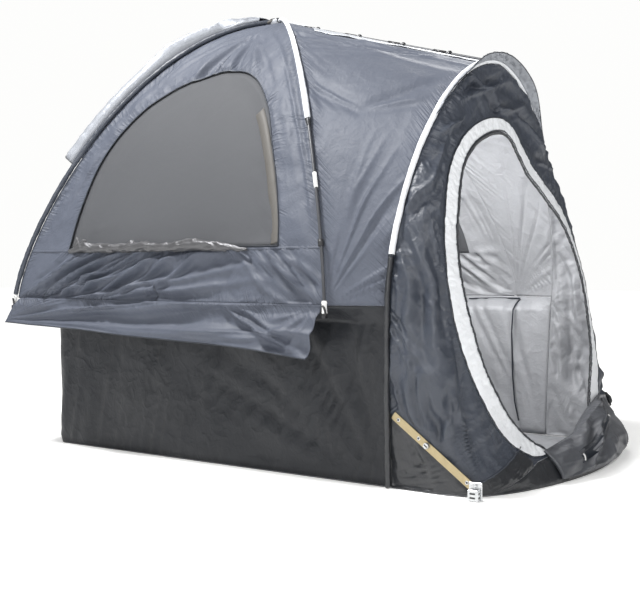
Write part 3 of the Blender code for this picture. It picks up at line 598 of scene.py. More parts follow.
def make_materials():
    return {
        "shell": cloth("shell", (0.083, 0.093, 0.120), (0.50, 0.64), spread=0.13, fold=0.0019, shine=0.28, gather=0.0042),
        "dark": cloth("dark", (0.034, 0.041, 0.057), (0.42, 0.56), spread=0.16, wrinkle=0.0012, size=34, fold=0.0040,
                      shine=0.6, gather=0.0030),
        "inner": cloth("inner", (0.355, 0.361, 0.378), (0.48, 0.62), 0.12, 0.10, wrinkle=0.0014, size=32, fold=0.0046, through=0.04),
        "silver": cloth("silver", (0.36, 0.375, 0.40), (0.38, 0.52), 0.30, 0.10, wrinkle=0.0006, size=30, fold=0.0026),
        "fly": cloth("fly", (0.31, 0.325, 0.355), (0.38, 0.52), 0.20, 0.16, wrinkle=0.0006, size=30, fold=0.0026),
        "trim": cloth("trim", (0.78, 0.795, 0.82), (0.36, 0.50), 0.10, 0.08, wrinkle=0.0014, size=52, fold=0.0034),
        "cover": cloth("cover", (0.105, 0.105, 0.11), (0.34, 0.48), 0.40, 0.16, wrinkle=0.0008, size=40, fold=0.0016),
        "white": cloth("white", (0.76, 0.775, 0.80), (0.45, 0.60), 0.0, 0.05, wrinkle=0.0010, size=60, fold=0.0015),
        "black": cloth("black", (0.018, 0.0195, 0.023), (0.30, 0.44), spread=0.25, wrinkle=0.0012, size=36,
                       fold=0.0025, shine=0.6),
        # Panel cloth of the gathered door: black glossy cloth, whose colour is lightened as painted sheen, standing in
        # for the highlights on its folds.
        "panel": cloth("panel", (0.066, 0.070, 0.080), (0.38, 0.50), spread=0.20, wrinkle=0.0006, size=36,
                       fold=0.0014, shine=0.6),
        # Tub cloth: dark charcoal cloth, and its colour, darker still than the black cloth, is also painted shade that
        # makes the tub read as in shadow under the skirt.
        "tub": cloth("tub", (0.013, 0.0145, 0.018), (0.42, 0.58), spread=0.18, wrinkle=0.0012, size=30, fold=0.0040),
        "piping": cloth("piping", (0.018, 0.022, 0.030), (0.4, 0.55), pitch=0.0016, wrinkle=0.0002, size=120, fold=0.0),
        "net": cloth("net", (0.098, 0.101, 0.109), (0.62, 0.75), spread=0.16, pitch=0.0026, wrinkle=0.0002, thread=0.55,
                     clear=0.80, fold=0.0012, shine=0.2),
        "beige": cloth("beige", (0.110, 0.104, 0.096), (0.6, 0.7), pitch=0.0024, wrinkle=0.0004, thread=0.5, fold=0.001),
        "thread": cloth("thread", (0.080, 0.088, 0.105), (0.5, 0.6), pitch=0.0006, wrinkle=0.0001, size=300, fold=0.0),
        "zip": plastic("zip", (0.060, 0.062, 0.068), (0.45, 0.6)),
        "gold": metal("gold", (0.40, 0.33, 0.20), (0.30, 0.46), (6.0, 1.0, 1.0)),
        "steel": metal("steel", (0.58, 0.59, 0.60), (0.22, 0.38), (1.0, 1.0, 6.0)),
        "rod": metal("rod", (0.046, 0.048, 0.054), (0.38, 0.50), (6.0, 6.0, 1.0), 0.10),
        "white_plastic": plastic("white_plastic", (0.78, 0.78, 0.77)),
        "black_plastic": plastic("black_plastic", (0.016, 0.016, 0.018)),
    }


# Panels


class Panel:
    """Cloth over flat coordinates: a base surface, and folds that stand off it."""

    def __init__(self, base, relief, outward):
        self.base = base
        self.relief = relief
        self.outward = np.array(outward, float)

    def normal(self, p):
        e = 5e-4
        du = self.base(p + [e, 0]) - self.base(p - [e, 0])
        dv = self.base(p + [0, e]) - self.base(p - [0, e])
        n = unit(np.cross(du, dv))
        n[np.sum(n * self.outward, axis=-1) < 0] *= -1
        return n

    def at(self, p, lift=0.0):
        p = np.asarray(p, float)
        return self.base(p) + self.normal(p) * (self.relief(p) + lift)[..., None]


def closed_outline(points):
    """The outline again, closed, with short steps and all its corners."""
    pts = np.vstack([points, points[:1]])
    out = []
    for a, b in zip(pts[:-1], pts[1:]):
        steps = max(int(np.hypot(*(b - a)) / 0.002), 1)
        out.append(a + (b - a) * np.linspace(0, 1, steps, endpoint=False)[:, None])
    return np.vstack(out)


class Star:
    """A closed outline as seen from a point inside it."""

    def __init__(self, points, centre):
        dense = closed_outline(np.array(points, float))
        d = dense - centre
        turn = np.arctan2(d[:, 1], d[:, 0])
        order = np.argsort(turn)
        self.turn = turn[order]
        self.far = np.hypot(d[:, 0], d[:, 1])[order]
        self.from_below = (turn + math.pi / 2) % (2 * math.pi)
        order = np.argsort(self.from_below)
        self.from_below = self.from_below[order]
        self.run = lengths(dense[order])

    def radius(self, turn):
        return np.interp(turn, self.turn, self.far, period=2 * math.pi)

    def along(self, turn):
        return np.interp((turn + math.pi / 2) % (2 * math.pi), self.from_below, self.run)


def turns(count, corners, centre):
    """Even directions round a centre, with the nearest one moved to each corner."""
    all_turns = np.linspace(-math.pi, math.pi, count, endpoint=False)
    for corner in corners:
        want = math.atan2(corner[1] - centre[1], corner[0] - centre[0])
        all_turns[np.argmin(np.abs(all_turns - want))] = want
    return np.sort(all_turns)


def spaced(count, ends=0.5):
    """Steps from 0 to 1, closer together at both ends."""
    t = np.linspace(0, 1, count)
    return t * (1 - ends) + (1 - np.cos(math.pi * t)) / 2 * ends


def ribbon(name, panel, path, wide, lift, mats, thick=0.0008, sides=3):
    """A sewn strip that follows a path over a panel with the panel's folds."""
    path = resampled(np.array(path, float), max(int(lengths(np.array(path, float))[-1] / 0.006), 4))
    run = unit(np.gradient(path, axis=0))
    side = np.stack([-run[:, 1], run[:, 0]], 1)
    across = np.linspace(-wide / 2, wide / 2, sides)
    p = path[None] + side[None] * across[:, None, None]
    hump = 1 - (across / (wide / 2)) ** 2
    front = panel.at(p, lift + thick * 0.4 * np.ones(p.shape[:2]) * hump[:, None])
    back = panel.at(p, (lift - thick) * np.ones(p.shape[:2]))
    along = lengths(path)
    uv = np.stack([np.broadcast_to(along[None], p.shape[:2]), np.broadcast_to(across[:, None], p.shape[:2])], -1)
    return slab(name, front, back, mats, uv)


def cord_on(name, panel, path, radius, lift, mats, sides=8):
    """Piping along a path over a panel."""
    path = resampled(np.array(path, float), max(int(lengths(np.array(path, float))[-1] / 0.005), 4))
    return tube(name, panel.at(path, np.full(len(path), lift)), radius, mats, sides)


def stitches(name, lines, mats, pitch=0.0080, long=0.0045, wide=0.0009):
    """Rows of small raised stitches. lines are (points, outward normals)."""
    boxes, quads = [], []
    for path, normal in lines:
        run = lengths(path)
        count = int(run[-1] / pitch)
        if count < 2:
            continue
        at = (np.arange(count) + 0.5) * pitch
        mid = np.stack([np.interp(at, run, path[:, i]) for i in range(3)], 1)
        ahead = np.stack([np.interp(at + 1e-3, run, path[:, i]) for i in range(3)], 1)
        n = unit(np.stack([np.interp(at, run, normal[:, i]) for i in range(3)], 1))
        t = unit(ahead - mid + 1e-9)
        s = np.cross(n, t)
        for a, b, c in ((-1, -1, 0), (1, -1, 0), (1, 1, 0), (-1, 1, 0), (-0.6, -0.6, 1), (0.6, -0.6, 1), (0.6, 0.6, 1), (-0.6, 0.6, 1)):
            boxes.append(mid + t * (a * long / 2) + s * (b * wide / 2) + n * (c * wide * 0.7 - 0.0002))
        first = sum(len(b) for b in boxes[:-8])
        idx = np.arange(count)
        corner = [first + k * count + idx for k in range(8)]
        for face in ((3, 2, 1, 0), (4, 5, 6, 7), (0, 1, 5, 4), (1, 2, 6, 5), (2, 3, 7, 6), (3, 0, 4, 7)):
            quads.append(np.stack([corner[k] for k in face], -1))
    return add_mesh(name, np.vstack(boxes), np.vstack(quads), mats)


def grid_area(points, wrap=False):
    quads = quads_of(*points.shape[:2], wrap)
    a, b, c, d = (points.reshape(-1, 3)[quads[:, i]] for i in range(4))
    return float(np.linalg.norm(np.cross(c - a, d - b), axis=1).sum() / 2)


def declare(piece, smooth_grid, flat, wrap=False, ease=1.03):
    """Says that a piece is a sheet: its cut has the area of its surface without folds, and a little ease."""
    area = grid_area(smooth_grid, wrap) * ease
    flat = [float(side) for side in flat]
    if area > flat[0] * flat[1]:
        flat[1] = area / flat[0]
    print("sheet", piece.name, "flat", [round(side, 3) for side in flat], "area", round(area, 3))


# Dome walls


window_side = smooth_path(
    [
        (1.452, 0.786), (1.442, 0.930), (1.412, 1.120), (1.350, 1.258), (1.255, 1.365),
        (1.130, 1.436), (0.990, 1.470), (0.870, 1.474), (0.770, 1.440), (0.690, 1.375),
        (0.610, 1.270), (0.545, 1.140), (0.485, 1.010), (0.440, 0.880), (0.421, 0.786),
    ],
    8,
)
window_front = smooth_path(
    [
        (-0.400, 0.801), (-0.394, 0.960), (-0.360, 1.100), (-0.290, 1.200), (-0.180, 1.268),
        (0.000, 1.290), (0.180, 1.268), (0.290, 1.200), (0.360, 1.100), (0.394, 0.960), (0.400, 0.801),
    ],
    8,
)
SEAM_Z = 0.783
WALL_FOOT_Z = RAIL_Z + 0.001
WALL_RUN = float(lengths(dome_seam(np.linspace(0, 1, 400), 1, 0) * [1, 0, 1])[-1])


def wall_rim(front):
    """The outline of a dome wall in its flat coordinates."""
    k = np.sin(np.linspace(0.0, math.pi / 2, 120)) * 0.9996
    half = (DOME_HALF_W if front else DOME_HALF_L) * reach(k) - 0.0006
    z = WALL_FOOT_Z + k * (APEX_Z - WALL_FOOT_Z)
    mid = 0.0 if front else DOME_Y
    return np.vstack([np.stack([mid + half, z], 1), np.stack([mid - half, z], 1)[::-1]])


def side_relief(hole, rim, centre, seed):
    """Folds of a side wall. Its flat coordinates are Y and Z, with the cab end at high Y."""

    def relief(p):
        d = p - centre
        turn = np.arctan2(d[..., 1], d[..., 0])
        r = np.hypot(d[..., 0], d[..., 1])
        gap_in = np.maximum(r - hole.radius(turn), 0)
        gap_out = np.maximum(rim.radius(turn) - r, 0)
        s_in, s_out = hole.along(turn), rim.along(turn)
        y, z = p[..., 0], p[..., 1]
        above = smooth(SEAM_Z + 0.02, SEAM_Z + 0.12, z)
        low = smooth(SEAM_Z + 0.004, SEAM_Z - 0.02, z)
        h = 0.0045 * fbm(y / 0.30, z / 0.30, seed, 2) * smooth(0, 0.10, gap_out)
        h += 0.0016 * fbm(y / 0.07, z / 0.07, seed + 1, 2) * smooth(0, 0.05, gap_out)
        h += fan(p, (DOME_Y - 0.03, 1.705), 228, 318, 12, 0.56, 0.0130, seed + 2, sharp=2.2) * smooth(1.34, 1.50, z)
        h += fan(p, (1.735, 0.545), 136, 182, 15, 1.50, 0.0190, seed + 3, 0.05, 2.2) * low
        for foot, head, size in ((1.68, 1.30, 0.0075), (1.60, 1.18, 0.0085), (1.50, 1.10, 0.0070), (1.41, 1.02, 0.0060),
                                 (1.30, 0.93, 0.0055), (1.16, 0.86, 0.0045), (1.02, 0.76, 0.0040)):
            h += groove(p, (foot, 0.597), (head, 0.778), 0.019, size, seed + int(foot * 10)) * low
        for foot, head, size in ((0.25, 0.50, 0.0070), (0.31, 0.57, 0.0055), (0.23, 0.42, 0.0050), (0.40, 0.64, 0.0035)):
            h += groove(p, (foot, 0.600), (head, 0.800), 0.017, size, seed + int(foot * 10)) * smooth(0.80, 0.76, z)
        h += bundle(p, (0.53, 0.80), (0.23, 0.60), 0.24, 7, 0.0085, seed + 4) * smooth(0.80, 0.76, z)
        h += fan(p, (0.225, 0.60), 98, 150, 7, 0.60, 0.0070, seed + 5)
        h += fan(p, (1.685, 0.60), 62, 112, 8, 0.85, 0.0070, seed + 6) * above
        h += 0.0035 * crest(noise(gap_out / 0.030, s_out / 0.42, seed + 7)) * smooth(0, 0.03, gap_out) * smooth(
            0.16, 0.07, gap_out) * above
        h += gathers(gap_in, s_in, 0.021, 0.040, 0.0052, seed + 8, 0.8) * smooth(SEAM_Z, SEAM_Z + 0.04, z)
        h += gathers(gap_out, s_out, 0.030, 0.050, 0.0042, seed + 9, -0.7) * above
        h += gathers(np.maximum(z - RAIL_Z, 0), y, 0.034, 0.045, 0.0042, seed + 10, 0.8) * low
        h += gathers(np.maximum(SEAM_Z - z, 0), y, 0.024, 0.034, 0.0046, seed + 11, -1.0) * low
        h += gathers(np.maximum(z - SEAM_Z, 0), y, 0.024, 0.026, 0.0036, seed + 12, 0.6) * smooth(0.0, 0.006, gap_in) * (
            z > SEAM_Z)
        ring = np.hypot(y - 0.56, (z - 0.66) * 1.4)
        h += 0.0016 * crest(noise(ring / 0.012 + 0.5 * noise(y / 0.05, z / 0.05, seed), y / 0.09, seed + 13)) * smooth(
            0.22, 0.10, ring) * low
        h = np.where(np.abs(z - SEAM_Z) < 0.02, h * (0.35 + 0.65 * smooth(0.002, 0.02, np.abs(z - SEAM_Z))), h)
        return 2.5 * h * smooth(0, 0.020, gap_out) * (0.22 + 0.78 * smooth(0.0, 0.02, gap_in))

    return relief


def front_relief(hole, rim, centre, seed):
    """Folds of the cab wall. Its flat coordinates are X and Z."""

    def relief(p):
        d = p - centre
        turn = np.arctan2(d[..., 1], d[..., 0])
        r = np.hypot(d[..., 0], d[..., 1])
        gap_in = np.maximum(r - hole.radius(turn), 0)
        gap_out = np.maximum(rim.radius(turn) - r, 0)
        s_in, s_out = hole.along(turn), rim.along(turn)
        x, z = p[..., 0], p[..., 1]
        h = 0.0045 * fbm(x / 0.30, z / 0.30, seed, 2) * smooth(0, 0.10, gap_out)
        h += fan(p, (0, 1.70), 225, 315, 9, 0.42, 0.0085, seed + 2)
        h += fan(p, (0.735, 0.60), 100, 178, 10, 0.70, 0.0085, seed + 3)
        h += fan(p, (-0.735, 0.60), 2, 80, 10, 0.70, 0.0085, seed + 4)
        h += gathers(gap_in, s_in, 0.021, 0.040, 0.0046, seed + 5, 0.8)
        h += gathers(gap_out, s_out, 0.030, 0.050, 0.0042, seed + 6, -0.7)
        return h * smooth(0, 0.016, gap_out) * (0.30 + 0.70 * smooth(0.0, 0.02, gap_in))

    return relief


def holed_panel(base, relief_of, outline, rim_outline, centre, outward, seed):
    hole, rim = Star(outline, centre), Star(rim_outline, centre)
    panel = Panel(base, relief_of(hole, rim, np.array(centre), seed), outward)
    panel.hole, panel.rim, panel.centre = hole, rim, np.array(centre)
    return panel


def seam_layers(panel, p):
    """Coordinates from the hole's edge and from the rim, for the gathers in the cloth's material."""
    d = p - panel.centre
    turn, r = np.arctan2(d[..., 1], d[..., 0]), np.hypot(d[..., 0], d[..., 1])
    inner = np.stack([panel.hole.along(turn), r - panel.hole.radius(turn)], -1)
    outer = np.stack([panel.rim.along(turn) + 0.35 * (panel.rim.radius(turn) - r), panel.rim.radius(turn) - r], -1)
    return inner, outer


def ring_grid(panel, corners, count, rows):
    turn = turns(count, corners, panel.centre)
    way = np.stack([np.cos(turn), np.sin(turn)], 1)
    ri, ro = panel.hole.radius(turn), panel.rim.radius(turn)
    s = spaced(rows)[:, None]
    return panel.centre + way[None] * (ri + (ro - ri) * s)[..., None]


def net_grid(panel, corners, count, rows, over=0.007):
    """Points that fill the window and run on under the wall's edge."""
    turn = turns(count, corners, panel.centre)
    way = np.stack([np.cos(turn), np.sin(turn)], 1)
    ri = panel.hole.radius(turn) + over
    return panel.centre + way[None] * (ri * np.concatenate([[0.0006, 0.003, 0.006], np.linspace(0.04, 1, rows - 3)])[:, None])[..., None]


def dome_wall(tag, mats):
    """One wall of the dome with its net, piping and stitching. tag is left, right or front."""
    front = tag == "front"
    sx = {"left": -1, "right": 1, "front": 0}[tag]
    centre = (0.0, 1.02) if front else (0.955, 1.10)
    outline = window_front if front else window_side

    def base(p):
        k = (p[..., 1] - RAIL_Z) / (APEX_Z - RAIL_Z)
        if front:
            return np.stack([p[..., 0], DOME_Y + DOME_HALF_L * reach(k), p[..., 1]], -1)
        return np.stack([sx * DOME_HALF_W * reach(k), p[..., 0], p[..., 1]], -1)

    outward = (0, 1, 0.6) if front else (sx, 0, 0.6)
    rim_outline = wall_rim(front)
    make = front_relief if front else side_relief
    panel = holed_panel(base, make, outline, rim_outline, centre, outward, {"left": 3, "right": 60, "front": 90}[tag])
    rim_corners = [rim_outline[0], rim_outline[-1], (rim_outline[119] + rim_outline[120]) / 2]
    corners = [outline[0], outline[-1], *rim_corners]
    name = "front_wall" if front else f"side_wall_{tag}"
    p = ring_grid(panel, corners, 240 if front else 420, 20 if front else 36)
    wall = slab(
        name + "_cloth", panel.at(p), panel.at(p, np.full(p.shape[:2], -CLOTH_T)), [mats["shell"], mats["inner"]], p,
        True, seam_layers(panel, p),
    )
    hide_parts(name)

    def sag(q):
        d = q - panel.centre
        turn = np.arctan2(d[..., 1], d[..., 0])
        share = np.clip(np.hypot(d[..., 0], d[..., 1]) / panel.hole.radius(turn), 0, 1)
        gap = (1 - share) * panel.hole.radius(turn)
        a, z = q[..., 0], q[..., 1]
        edge = smooth(0.0, 0.05, gap)
        h = panel.relief(panel.centre + unit(d + 1e-9) * panel.hole.radius(turn)[..., None]) * (1 - edge) - 0.0030
        h += edge * 0.0060 * noise(a / 0.35, z / 0.8, 5 + sx) - 0.006 * edge
        if not front:
            for at, size in ((0.475, 1.0), (0.535, 0.8), (0.60, 0.5), (1.36, 0.5)):
                drift = a - at - 0.02 * np.sin(z * 5)
                h += edge * size * 0.0040 * np.exp(-((drift / 0.011) ** 2)) * smooth(1.30, 1.00, z)
            h += edge * fan(q, (0.90, 1.46), 230, 310, 8, 0.22, 0.0050, 12 + sx)
        return h

    net = Panel(base, sag, outward)
    q = net_grid(panel, [outline[0], outline[-1]], 110 if front else 150, 12 if front else 17)
    mesh = slab(f"window_net_{tag}", net.at(q), net.at(q, np.full(q.shape[:2], -0.0007)), [mats["net"]], q, True)
    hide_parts(f"window_mesh_{tag}")
    loop = closed_outline(np.array(outline))
    loop = np.vstack([loop, loop[:1]])
    piping = cord_on(f"window_piping_{tag}", panel, loop, 0.0024, 0.0012, [mats["piping"]])
    seam_rows = []
    for out in (0.007, 0.012):
        turn = turns(700, [], panel.centre)
        way = np.stack([np.cos(turn), np.sin(turn)], 1)
        row = panel.centre + way * (panel.hole.radius(turn) + out)[:, None]
        seam_rows.append((panel.at(row, np.full(len(row), 0.0002)), panel.normal(row)))
    if not front:
        lo = DOME_Y - DOME_HALF_L * reach((SEAM_Z - RAIL_Z) / (APEX_Z - RAIL_Z)) + 0.004
        line = np.array([(lo, SEAM_Z), (2 * DOME_Y - lo, SEAM_Z)])
        band = ribbon(f"window_seam_{tag}", panel, line - [0, 0.0045], 0.010, 0.0009, [mats["shell"]])
        for drop in (0.0022, 0.0075):
            row = resampled(line - [0, drop], 300)
            seam_rows.append((panel.at(row, np.full(len(row), 0.0016)), panel.normal(row)))
        strip = ribbon(
            f"window_strip_{tag}", net, smooth_path([(0.438, 0.797), (0.462, 0.890), (0.506, 1.000), (0.562, 1.120), (0.622, 1.225), (0.668, 1.290)], 6),
            0.040, 0.0016, [mats["beige"]],
        )
    foot = DOME_HALF_W if front else DOME_HALF_L
    mid = 0.0 if front else DOME_Y
    row = resampled(np.array([(mid - foot + 0.02, RAIL_Z + 0.014), (mid + foot - 0.02, RAIL_Z + 0.014)]), 300)
    seam_rows.append((panel.at(row, np.full(len(row), 0.0002)), panel.normal(row)))
    sewing = stitches(f"stitching_{tag}", seam_rows, [mats["thread"]])
    declare(wall, base(p), (2 * foot, WALL_RUN), True)
    declare(mesh, base(q), (np.ptp(np.array(outline)[:, 0]), np.ptp(q[..., 1]) * 1.12), True)
    return panel


# Rear extension


EXT_ROWS = 420


def seam_k(count):
    return np.sin(np.linspace(0.0, math.pi / 2, count)) * 0.9998


class Extension:
    """Half of the extension's roof and side, as straight runs from the dome's seam to the arch."""

    def __init__(self, sx, seed):
        self.sx, self.seed = sx, seed
        self.k = seam_k(EXT_ROWS)
        middle = self.point(self.k, np.full(EXT_ROWS, 0.5))
        self.up = lengths(middle)

    def point(self, k, v):
        a = dome_seam(k, self.sx, -1)
        z = RAIL_Z + k * (ARCH_Z - RAIL_Z)
        b = np.stack([self.sx * arch_half(z), arch_y(z), z], -1)
        out = a + (b - a) * v[..., None]
        out[..., 0] = self.sx * np.maximum(self.sx * out[..., 0], 0.0002)
        return out

    def flat(self, k, v):
        return np.stack([self.point(k, v)[..., 1], np.interp(k, self.k, self.up)], -1)

    def relief(self, k, v):
        s = self.seed
        p = self.flat(k, v)
        y, h = p[..., 0], p[..., 1]
        top = self.up[-1]
        wide = dome_seam(k, 1, -1)[..., 1] - arch_y(RAIL_Z + k * (ARCH_Z - RAIL_Z))
        gap_dome, gap_arch = v * wide, (1 - v) * wide
        gap_ridge = top - h
        out = 0.0050 * fbm(y / 0.28, h / 0.28, s, 2)
        out += fan(p, (0.205, -0.01), 86, 166, 17, 0.74, 0.0180, s + 1, 0.04, 2.4)
        out += fan(p, (0.50, 0.80), 170, 262, 8, 0.34, 0.0080, s + 12, 0.02, 1.8)
        out += fan(p, (-0.10, top - 0.02), -34, 6, 13, 1.50, 0.0150, s + 13, 0.06, 2.0) * smooth(0.50, 0.30, gap_ridge)
        sag = np.interp(y, [0.0, 0.05, 0.24, 0.43, 0.5], [1.03, 0.98, 0.735, 0.76, 0.80])
        out -= 0.010 * np.exp(-(((h - sag) / 0.040) ** 2)) * smooth(-0.02, 0.10, y) * smooth(0.60, 0.40, y)
        out += groove(p, (0.52, 0.80), (0.23, 0.720), 0.024, 0.0050, s + 3)
        out += groove(p, (0.255, 0.720), (0.03, 0.90), 0.026, 0.0045, s + 4)
        near_ridge = smooth(0.40, 0.20, gap_ridge)
        out += 0.0090 * crest(noise(gap_ridge / 0.036 + 0.35 * y, y / 1.6, s + 6), 2.0) * near_ridge
        out += gathers(gap_dome, h, 0.036, 0.085, 0.0090, s + 8, 0.9)
        out += gathers(gap_arch, h, 0.034, 0.065, 0.0080, s + 9, -0.9)
        out += rumple(p, 0.09, 0.0014, s + 10) * smooth(0.2, 0.5, h)
        fade = smooth(0, 0.016, gap_dome) * smooth(0, 0.016, gap_arch) * smooth(0, 0.02, h) * smooth(0.02, 0.17, gap_ridge)
        return out * fade

    def normal(self, k, v):
        e = 1e-3
        k0, k1 = np.clip(k - e, 0, 0.9998), np.clip(k + e, 0, 0.9998)
        v0, v1 = np.clip(v - e, 0, 1), np.clip(v + e, 0, 1)
        n = unit(np.cross(self.point(k1, v) - self.point(k0, v), self.point(k, v1) - self.point(k, v0)))
        n[np.sum(n * np.array([self.sx, 0, 0.7]), axis=-1) < 0] *= -1
        return n

    def seams(self, k, v):
        up = np.interp(k, self.k, self.up)
        wide = dome_seam(k, 1, -1)[..., 1] - arch_y(RAIL_Z + k * (ARCH_Z - RAIL_Z))
        return np.stack([up + 0.8 * v * wide, v * wide], -1), np.stack([up - 0.8 * (1 - v) * wide, (1 - v) * wide], -1)

    def at(self, k, v, lift=0.0):
        return self.point(k, v) + self.normal(k, v) * (self.relief(k, v) + lift)[..., None]


def extension(side, mats):
    sx = -1 if side == "left" else 1
    panel = Extension(sx, 21 if side == "left" else 121)
    rows, cols = 150, 70
    even = np.linspace(0, panel.up[-1], rows)
    k = np.interp(even, panel.up, panel.k)[:, None] * np.ones((1, cols))
    v = (spaced(cols, 0.3) * 0.9975 + 0.001)[None] * np.ones((rows, 1))
    front = panel.at(k, v)
    back = panel.at(k, v, -CLOTH_T)
    made = slab(f"extension_{side}_cloth", front, back, [mats["shell"], mats["inner"]], panel.flat(k, v),
                seams=panel.seams(k, v))
    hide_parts(f"extension_{side}")
    lines = []
    for share in (0.010, 0.990):
        vv = np.full(EXT_ROWS, share)
        width = dome_seam(panel.k, 1, -1)[:, 1] - arch_y(RAIL_Z + panel.k * (ARCH_Z - RAIL_Z))
        vv = 0.012 / np.maximum(width, 0.05) if share < 0.5 else 1 - 0.012 / np.maximum(width, 0.05)
        lines.append((panel.at(panel.k, vv, 0.0002), panel.normal(panel.k, vv)))
    sewing = stitches(f"stitching_extension_{side}", lines, [mats["thread"]])
    declare(made, panel.point(k, v), (DOME_Y - arch_y(ARCH_Z), panel.up[-1]))
    return panel


# Door wall, its trim and its sill

door_outline = smooth_path(
    [
        (-0.20, 0.092), (-0.338, 0.095), (-0.425, 0.155), (-0.500, 0.255), (-0.560, 0.370),
        (-0.590, 0.500), (-0.596, 0.650), (-0.570, 0.800), (-0.526, 0.918), (-0.460, 1.040),
        (-0.342, 1.155), (-0.210, 1.222), (-0.070, 1.248), (0.030, 1.228), (0.100, 1.160),
        (0.165, 1.090), (0.290, 1.020), (0.420, 0.940), (0.520, 0.820), (0.580, 0.650),
        (0.590, 0.500), (0.560, 0.370), (0.500, 0.255), (0.425, 0.155), (0.338, 0.095), (0.20, 0.092),
    ],
    8,
)
door_clear = smooth_path(
    [
        (-0.130, 0.094), (-0.240, 0.104), (-0.330, 0.175), (-0.400, 0.255), (-0.480, 0.380),
        (-0.514, 0.487), (-0.536, 0.650), (-0.520, 0.790), (-0.478, 0.900), (-0.400, 1.040),
        (-0.300, 1.130), (-0.180, 1.184), (-0.070, 1.204), (-0.005, 1.186), (0.050, 1.130),
        (0.110, 1.062), (0.240, 0.985), (0.380, 0.900), (0.475, 0.790), (0.524, 0.650),
        (0.512, 0.487), (0.480, 0.380), (0.400, 0.255), (0.330, 0.175), (0.240, 0.104), (0.130, 0.094),
    ],
    8,
)
SILL_X = [-0.625, -0.55, -0.44, -0.335, -0.2, 0.2, 0.335, 0.44, 0.55, 0.625]
SILL_TOP = [-0.02, 0.012, 0.045, SILL_Z - 0.012, SILL_Z, SILL_Z, SILL_Z - 0.012, 0.045, 0.012, -0.02]
LOW_Z = 0.0035
DOOR_CENTRE = (0.0, 0.66)


class Skin:
    """The door wall's base surface. Its flat coordinates are metres round from the middle, and height."""

    def __init__(self):
        self.z = np.linspace(0, ARCH_Z - 0.0006, 300)
        r = 1 - (1 - np.linspace(0, 1, 1201)) ** 8
        self.share = np.linspace(0, 1, 401)
        self.x, self.y, self.half = [], [], []
        for z in self.z:
            t = np.clip(z / 1.15, 0, 1)
            n = 8 * (1 - t) + 2.2 * t
            x = arch_half(z) * r
            y = arch_y(z) - tail_depth(z) * (1 - r**n) ** (1 / n) - SILL_BULGE * np.exp(-((z / 0.12) ** 2)) * (1 - r * r)
            run = lengths(np.stack([x, y], 1))
            at = self.share * run[-1]
            self.x.append(np.interp(at, run, x))
            self.y.append(np.interp(at, run, y))
            self.half.append(run[-1])
        self.x, self.y, self.half = np.array(self.x), np.array(self.y), np.array(self.half)

    def base(self, p):
        q, z = p[..., 0], np.clip(p[..., 1], 0, self.z[-1])
        row = np.minimum(z / self.z[1], len(self.z) - 1.001)
        i = row.astype(int)
        f = row - i
        u = np.clip(np.abs(q) / np.interp(z, self.z, self.half), 0, 1) * 399.999
        j = u.astype(int)
        g = u - j
        mixed = []
        for table in (self.x, self.y):
            low = table[i, j] * (1 - g) + table[i, j + 1] * g
            high = table[i + 1, j] * (1 - g) + table[i + 1, j + 1] * g
            mixed.append(low * (1 - f) + high * f)
        return np.stack([np.sign(q) * mixed[0], mixed[1], z], -1)

    def flat(self, points):
        """Flat coordinates of points given by X and Z."""
        out = []
        for x, z in points:
            i = min(int(round(z / self.z[1])), len(self.z) - 1)
            u = np.interp(abs(x), self.x[i], self.share)
            out.append((math.copysign(u * self.half[i], x), z))
        return np.array(out)


skin = Skin()


def both_sides(fold, p, *values):
    return fold(p, *values) + fold(p * [-1, 1], *values)


def door_relief(hole, rim, centre, seed):
    leg = skin.half[0]
    corner = skin.flat([(0.64, 0.3)])[0][0]

    def relief(p):
        d = p - centre
        turn = np.arctan2(d[..., 1], d[..., 0])
        r = np.hypot(d[..., 0], d[..., 1])
        gap_in = np.maximum(r - hole.radius(turn), 0)
        gap_out = np.maximum(rim.radius(turn) - r, 0)
        s_in, s_out = hole.along(turn), rim.along(turn)
        q, z = p[..., 0], p[..., 1]
        low = smooth(0.80, 0.40, z)
        h = 0.0060 * fbm(q / 0.24, z / 0.30, seed, 2) + 0.0032 * fbm(q / 0.07, z / 0.09, seed + 1, 2)
        h += both_sides(bundle, p, (corner + 0.03, 0.06), (corner + 0.01, 0.80), 0.28, 8, 0.0240, seed + 2)
        h += both_sides(fan, p, (leg - 0.16, -0.02), 66, 122, 10, 0.75, 0.0160, seed + 3, 0.03)
        h += both_sides(fan, p, (leg - 0.02, 0.72), 225, 285, 8, 0.60, 0.0110, seed + 4)
        h += 0.0085 * crest(noise(gap_out / 0.040 + 0.4 * noise(s_out / 0.2, 0, seed), s_out / 0.34, seed + 5)) * (
            smooth(0.70, 0.95, z) * smooth(0.0, 0.04, gap_out))
        h += 0.0070 * crest(noise(q / 0.050, z / 0.40, seed + 6)) * low
        for a, b, size in (
            ((-0.34, 1.285), (0.06, 1.400), 0.010), ((0.02, 1.270), (-0.26, 1.395), 0.010),
            ((-0.10, 1.262), (0.20, 1.330), 0.008), ((-0.30, 1.235), (-0.48, 1.150), 0.007),
            ((0.10, 1.290), (0.36, 1.140), 0.009), ((0.20, 1.120), (0.42, 1.090), 0.007),
            ((-0.52, 1.020), (-0.70, 0.880), 0.007),
        ):
            h += groove(p, a, b, 0.020, size, seed)
        h += gathers(gap_in, s_in, 0.017, 0.040, 0.0062, seed + 7, 0.5)
        h += gathers(gap_out, s_out, 0.026, 0.050, 0.0056, seed + 8, -0.7)
        h += rumple(p, 0.050, 0.0040, seed + 9)
        return 1.6 * h * smooth(0, 0.016, gap_out) * (0.10 + 0.90 * smooth(0.0, 0.03, gap_in))

    return relief


